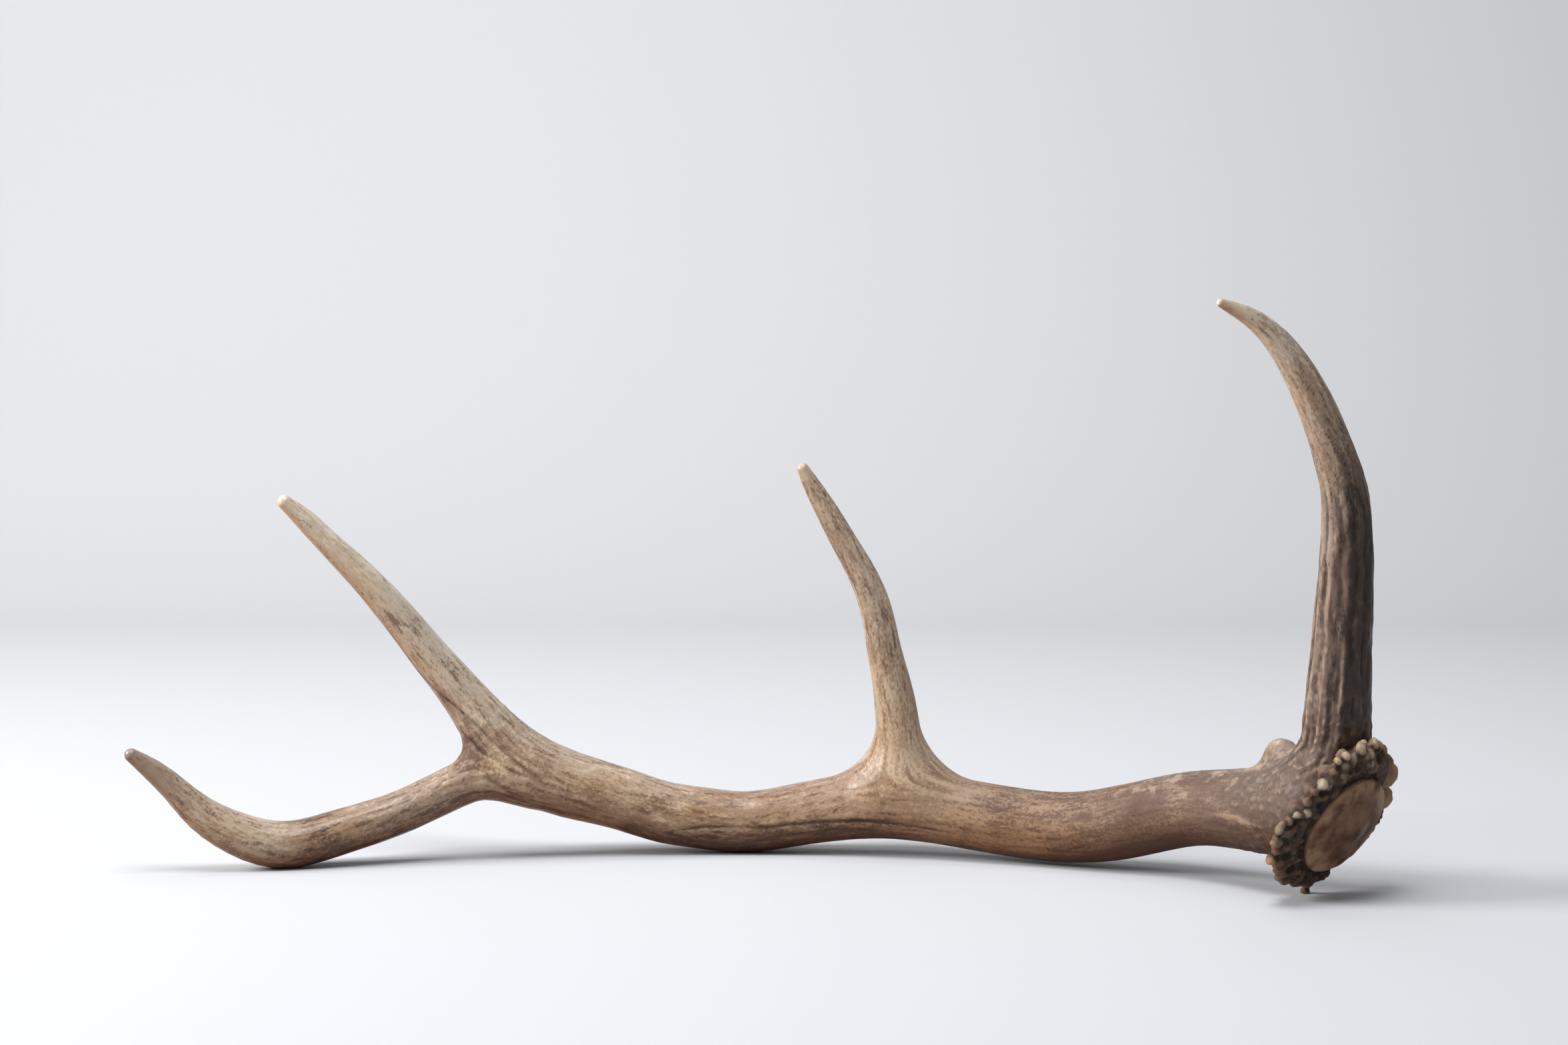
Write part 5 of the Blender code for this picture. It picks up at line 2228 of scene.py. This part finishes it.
@dataclass(frozen=True)
class BurrFinish(BoneFinish):
    """The finish of the lower beam: bone, with the burr's crevices, pearls and seal."""

    crevice: float = 0.95
    crevice_band: Band = (-0.9, 0.4)
    ring_stain: float = 0.92
    pearl_band: Band = (0.35, 0.65)
    pearl_amber: float = 0.45
    warm_share: float = 0.8
    seal_band: Band = (0.35, 0.7)

    def burr_colour(self, g: Graph, c: BoneColours, colour: Socket, mottle: Socket) -> Socket:
        """The colour with the burr's dark crevices of grime and painted shade, its pale pearls and the
        seal laid on.

        Args:
            g: the material's graph.
            c: the bone's colours.
            colour: the bone's colour without the burr.
            mottle: a faint unevenness.

        Returns:
            The new colour.
        """
        ring = g.mark("ring")
        shade = g.blend(g.times(ring, self.ring_stain), colour, c.lump)
        # grime and painted shade in the burr's crevices and pits
        filled = g.times(g.spread(g.mark("deep"), *self.crevice_band), ring)
        shade = g.blend(g.times(filled, self.crevice), shade, c.dirt_and_shade)
        warm = g.blend(self.pearl_amber, c.pearl, c.amber)
        tone = g.blend(g.spread(mottle, *self.pearl_band), c.pearl, warm)
        tone = g.blend(g.times(g.mark("warm"), self.warm_share), tone, c.amber)
        shade = g.blend(g.mark("pearl"), shade, tone)
        seal = g.blend(g.mark("seal_rim"), c.seal_middle, c.seal_rim)
        seal = g.blend(g.spread(mottle, *self.seal_band), seal, c.seal_rim, Blend.MULTIPLY)
        return g.blend(g.mark("seal"), shade, seal)


# ------------------------------------------------------------------ the lengths


@dataclass
class Length:
    """One length of the antler, which stands for the solid of the same name."""

    node: str
    finish: BoneFinish

    def build(self, surface: Surface, marks: Marking, chosen: Array) -> bpy.types.Object:
        """Part the length off the body, close its ends and write its marks.

        Args:
            surface: the whole body.
            marks: the body's marks.
            chosen: which of the body's triangles are this length's.

        Returns:
            The new object.
        """
        faces = surface.faces[chosen]
        used, flat = np.unique(faces, return_inverse=True)
        faces = flat.reshape(faces.shape)
        points = surface.points[used]
        normals = surface.normals[used]
        caps, centres, facings = self.end_caps(points, faces)
        name = f"antler_{self.node}"
        mesh = write_mesh(name, np.vstack([points, centres]), np.vstack([faces, caps]))
        loop_normals = np.vstack([normals[faces.ravel()], np.repeat(facings, 3, axis=0)])
        mesh.shade_smooth()
        mesh.normals_split_custom_set(loop_normals.tolist())
        for label, rows in marks.items():
            kept = rows[used]
            extra = np.repeat(kept.mean(axis=0, keepdims=True), len(centres), axis=0)
            self.write_mark(mesh, label, np.concatenate([kept, extra]))
        return put(name, mesh)

    @staticmethod
    def end_caps(points: Array, faces: Array) -> tuple[Array, Array, Array]:
        """A fan of triangles over each open end.

        Args:
            points: the length's points.
            faces: the length's triangles.

        Returns:
            The fans' triangles, the new point in the middle of each fan, and each triangle's
            facing.
        """
        edges = np.concatenate([faces[:, (0, 1)], faces[:, (1, 2)], faces[:, (2, 0)]])
        size = len(points)
        here = edges[:, 0] * size + edges[:, 1]
        back = edges[:, 1] * size + edges[:, 0]
        open_edges = edges[~np.isin(here, back)]
        after = dict(open_edges.tolist())
        fans, centres, facings = [], [], []
        while after:
            start, step = after.popitem()
            loop = [start]
            while step != start:
                loop.append(step)
                step = after.pop(step)
            ring = np.array(loop)
            centre = points[ring].mean(axis=0)
            following = np.roll(ring, -1)
            middle = np.full(len(ring), size + len(centres))
            fan = np.stack([following, ring, middle], axis=1)
            facing = unit(np.cross(points[ring] - centre, points[following] - centre).sum(axis=0))
            fans.append(fan)
            centres.append(centre)
            facings.append(np.repeat(-facing[None], len(ring), axis=0))
        if not fans:
            return np.empty((0, 3), np.int64), np.empty((0, 3)), np.empty((0, 3))
        return np.vstack(fans), np.array(centres), np.vstack(facings)

    @staticmethod
    def write_mark(mesh: bpy.types.Mesh, label: str, rows: Array) -> None:
        """Write one mark on to a mesh."""
        kind, part = ("FLOAT_VECTOR", "vector") if rows.ndim == 2 else ("FLOAT", "value")
        layer = mesh.attributes.new(label, kind, "POINT")
        layer.data.foreach_set(part, rows.astype(np.float32).ravel())

    def dress(self, made: bpy.types.Object, groups: BoneGroups) -> None:
        """Give the length its finish, and tie it to the frame."""
        made.data.materials.append(self.finish.make(f"bone_{self.node}", groups))
        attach(made, BODY)
        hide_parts(self.node)


@dataclass
class Antler:
    """The whole antler: its skin, where it is parted, and its six lengths."""

    skin: Skin = field(default_factory=Skin)
    brow_cut: SawCut = SawCut((292, -55.5, 92), (0.0, -0.1, 1.0), 32)
    trez_cut: SawCut = SawCut((76.5, 63.5, 74), (-0.1, -0.07, 1.0), 26)
    beam_cut: SawCut = SawCut((33, 74, 21.5), (1.0, -0.12, 0.1), 34)
    upper_cut: SawCut = SawCut((-153, 60, 84), (-0.62, -0.08, 0.78), 30)
    lower_cut: SawCut = SawCut((-172, 51, 33), (-0.9, -0.29, -0.33), 26)
    brow_from: float = 150.0
    trez_middle: float = 60.0
    trez_half: float = 100.0
    crown_to: float = -100.0
    nodes: tuple[str, ...] = (
        "lower_beam", "upper_beam", "brow_tine", "trez_tine", "upper_crown_tine", "lower_crown_tine",
    )
    burr_node: str = "lower_beam"

    def cuts(self) -> tuple[SawCut, ...]:
        """Every cut."""
        return (self.brow_cut, self.trez_cut, self.beam_cut, self.upper_cut, self.lower_cut)

    def sorted_faces(self, surface: Surface) -> Array:
        """The name of the length that each triangle belongs to.

        Args:
            surface: the whole body.

        Returns:
            A name a triangle.
        """
        middles = surface.points[surface.faces].mean(axis=1)
        x = middles[:, 0]
        crown = self.skin.lower_crown.distance(middles) - self.skin.beam.distance(middles)
        names = np.where(self.beam_cut.side(middles) > 0.0, "lower_beam", "upper_beam").astype("U20")
        for node, cut, here in (
            ("brow_tine", self.brow_cut, x > self.brow_from),
            ("trez_tine", self.trez_cut, np.abs(x - self.trez_middle) < self.trez_half),
            ("upper_crown_tine", self.upper_cut, (x < self.crown_to) & (crown > 0.0)),
            ("lower_crown_tine", self.lower_cut, (x < self.crown_to) & (crown < 0.0)),
        ):
            names[here & (cut.side(middles) > 0.0)] = node
        return names

    def build(self) -> None:
        """Make the body, work its relief and marks, and part and dress its lengths."""
        points, faces = BodyMaker(self.skin).build(self.cuts())
        surface = Surface(points, faces)
        LOG.info("body: %d points, %d triangles", len(points), len(faces))
        names = self.sorted_faces(surface)
        relief = Relief(self.skin)
        grain = Grain(surface, self.skin)
        streaks = relief.streaks(grain)
        surface.raise_by(relief.make(grain, streaks))
        LOG.info("relief and grain done")
        marks = Marks(self.skin, relief).paint(grain, streaks)
        groups = BoneGroups(BoneColours())
        for node in self.nodes:
            length = Length(node, BurrFinish() if node == self.burr_node else BoneFinish())
            made = length.build(surface, marks, names == node)
            length.dress(made, groups)
            LOG.info("%s: %d triangles", made.name, len(made.data.polygons))


# ------------------------------------------------------------------ the studio


@dataclass(frozen=True)
class Lamp:
    """A square soft light: where it stands, what it points at, its side, power and colour."""

    name: str
    place: Spot
    aim: Spot
    size: float
    watts: float
    colour: Colour

    def build(self) -> None:
        """Add the light to the scene."""
        light = bpy.data.lights.new(self.name, "AREA")
        light.size = self.size
        light.energy = self.watts
        light.color = self.colour
        made = put(self.name, light)
        made.location = self.place
        made.rotation_euler = (Vector(self.aim) - Vector(self.place)).to_track_quat("-Z", "Y").to_euler()


@dataclass
class Studio:
    """A plain pale floor that curves up behind, soft lights and the camera, in metres."""

    floor_drop: float = 0.0002
    floor_front: float = -8.0
    floor_back: float = 1.2
    floor_half: float = 12.0
    sweep: float = 0.6
    sweep_steps: int = 24
    wall_height: float = 4.0
    floor_colour: Colour = (0.52, 0.527, 0.545)
    floor_rough: float = 0.85
    camera_place: Spot = (0.016, -1.672, 0.3155)
    lens: float = 75.0
    sensor: float = 36.0
    tilt_rise: float = 384.0
    tilt_run: float = 4900.0
    room_colour: Colour = (0.98, 0.99, 1.0)
    room_strength: float = 0.22
    lamps: tuple[Lamp, ...] = (
        Lamp("key", (-2.05, -0.45, 1.1), (0.0, 0.0, 0.1), 0.9, 72.0, (1.0, 0.99, 0.98)),
        Lamp("top", (-0.1, -0.6, 1.9), (0.0, 0.0, 0.0), 0.8, 30.0, (0.95, 0.97, 1.0)),
        Lamp("wall", (0.0, 0.6, 1.6), (0.0, 1.8, 0.6), 1.5, 13.0, (1.0, 1.0, 1.0)),
    )

    def floor(self) -> None:
        """The floor and the backdrop, as one swept sheet that isn't seen from behind."""
        profile = [(self.floor_front, 0.0), (self.floor_back, 0.0)]
        for number in range(1, self.sweep_steps + 1):
            turn = math.pi / 2 * number / self.sweep_steps
            y, z = self.sweep * math.sin(turn), self.sweep * (1 - math.cos(turn))
            profile.append((self.floor_back + y, z))
        profile.append((self.floor_back + self.sweep, self.wall_height))
        sides = (-self.floor_half, self.floor_half)
        points = [(side, y, z - self.floor_drop) for y, z in profile for side in sides]
        faces = [(2 * n, 2 * n + 1, 2 * n + 3, 2 * n + 2) for n in range(len(profile) - 1)]
        mesh = bpy.data.meshes.new("studio_floor")
        mesh.from_pydata(points, [], faces)
        mesh.shade_smooth()
        mesh.materials.append(self.paper())
        put("studio_floor", mesh)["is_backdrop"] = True

    def paper(self) -> bpy.types.Material:
        """The floor's plain paper, which is clear where it is seen from behind."""
        material = bpy.data.materials.new("studio_paper")
        material.use_nodes = True
        g = Graph(material.node_tree)
        shader = material.node_tree.nodes["Principled BSDF"]
        g.feed(shader.inputs["Base Color"], self.floor_colour)
        g.feed(shader.inputs["Roughness"], self.floor_rough)
        behind = g.node("ShaderNodeNewGeometry").outputs["Backfacing"]
        g.feed(shader.inputs["Alpha"], g.rest(behind))
        return material

    def light(self) -> None:
        """A key light from the upper left, one from above, one on the wall, and the room's own."""
        for lamp in self.lamps:
            lamp.build()
        world = bpy.data.worlds.new("room")
        world.use_nodes = True
        room = world.node_tree.nodes["Background"]
        room.inputs["Color"].default_value = (*self.room_colour, 1.0)
        room.inputs["Strength"].default_value = self.room_strength
        bpy.context.scene.world = world

    def camera(self) -> None:
        """The camera, at the height and angle that the antler is seen from."""
        data = bpy.data.cameras.new("camera")
        data.lens = self.lens
        data.sensor_width = self.sensor
        made = put("camera", data)
        made.location = self.camera_place
        tilt = math.atan(self.tilt_rise / self.tilt_run)
        made.rotation_euler = (math.pi / 2 - tilt, 0.0, 0.0)
        bpy.context.scene.camera = made

    def build(self) -> None:
        """Set the studio up."""
        self.floor()
        self.light()
        self.camera()
        bpy.context.scene.view_settings.view_transform = "Standard"
        LOG.info("studio done")


def write_sizes() -> None:
    """Work out the solids' box and the dressed antler's box, as rows of corners."""
    boxes = {"cad": cad_box, "visual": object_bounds()}
    rows = {name: [list(low), list(high)] for name, (low, high) in boxes.items()}


def clear_start_up() -> None:
    """Remove what the start-up scene holds, and keep the frame."""
    kept = set(frame["nodes"].values()) | set(frame["bodies"].values())
    for old in list(bpy.data.objects):
        if old not in kept:
            bpy.data.objects.remove(old)


def main() -> None:
    """Build the antler and the studio round it."""
    logging.basicConfig(level=logging.INFO, format="%(relativeCreated)6d ms %(message)s")
    clear_start_up()
    Antler().build()
    Studio().build()
    write_sizes()


if __name__ == "__main__":
    main()
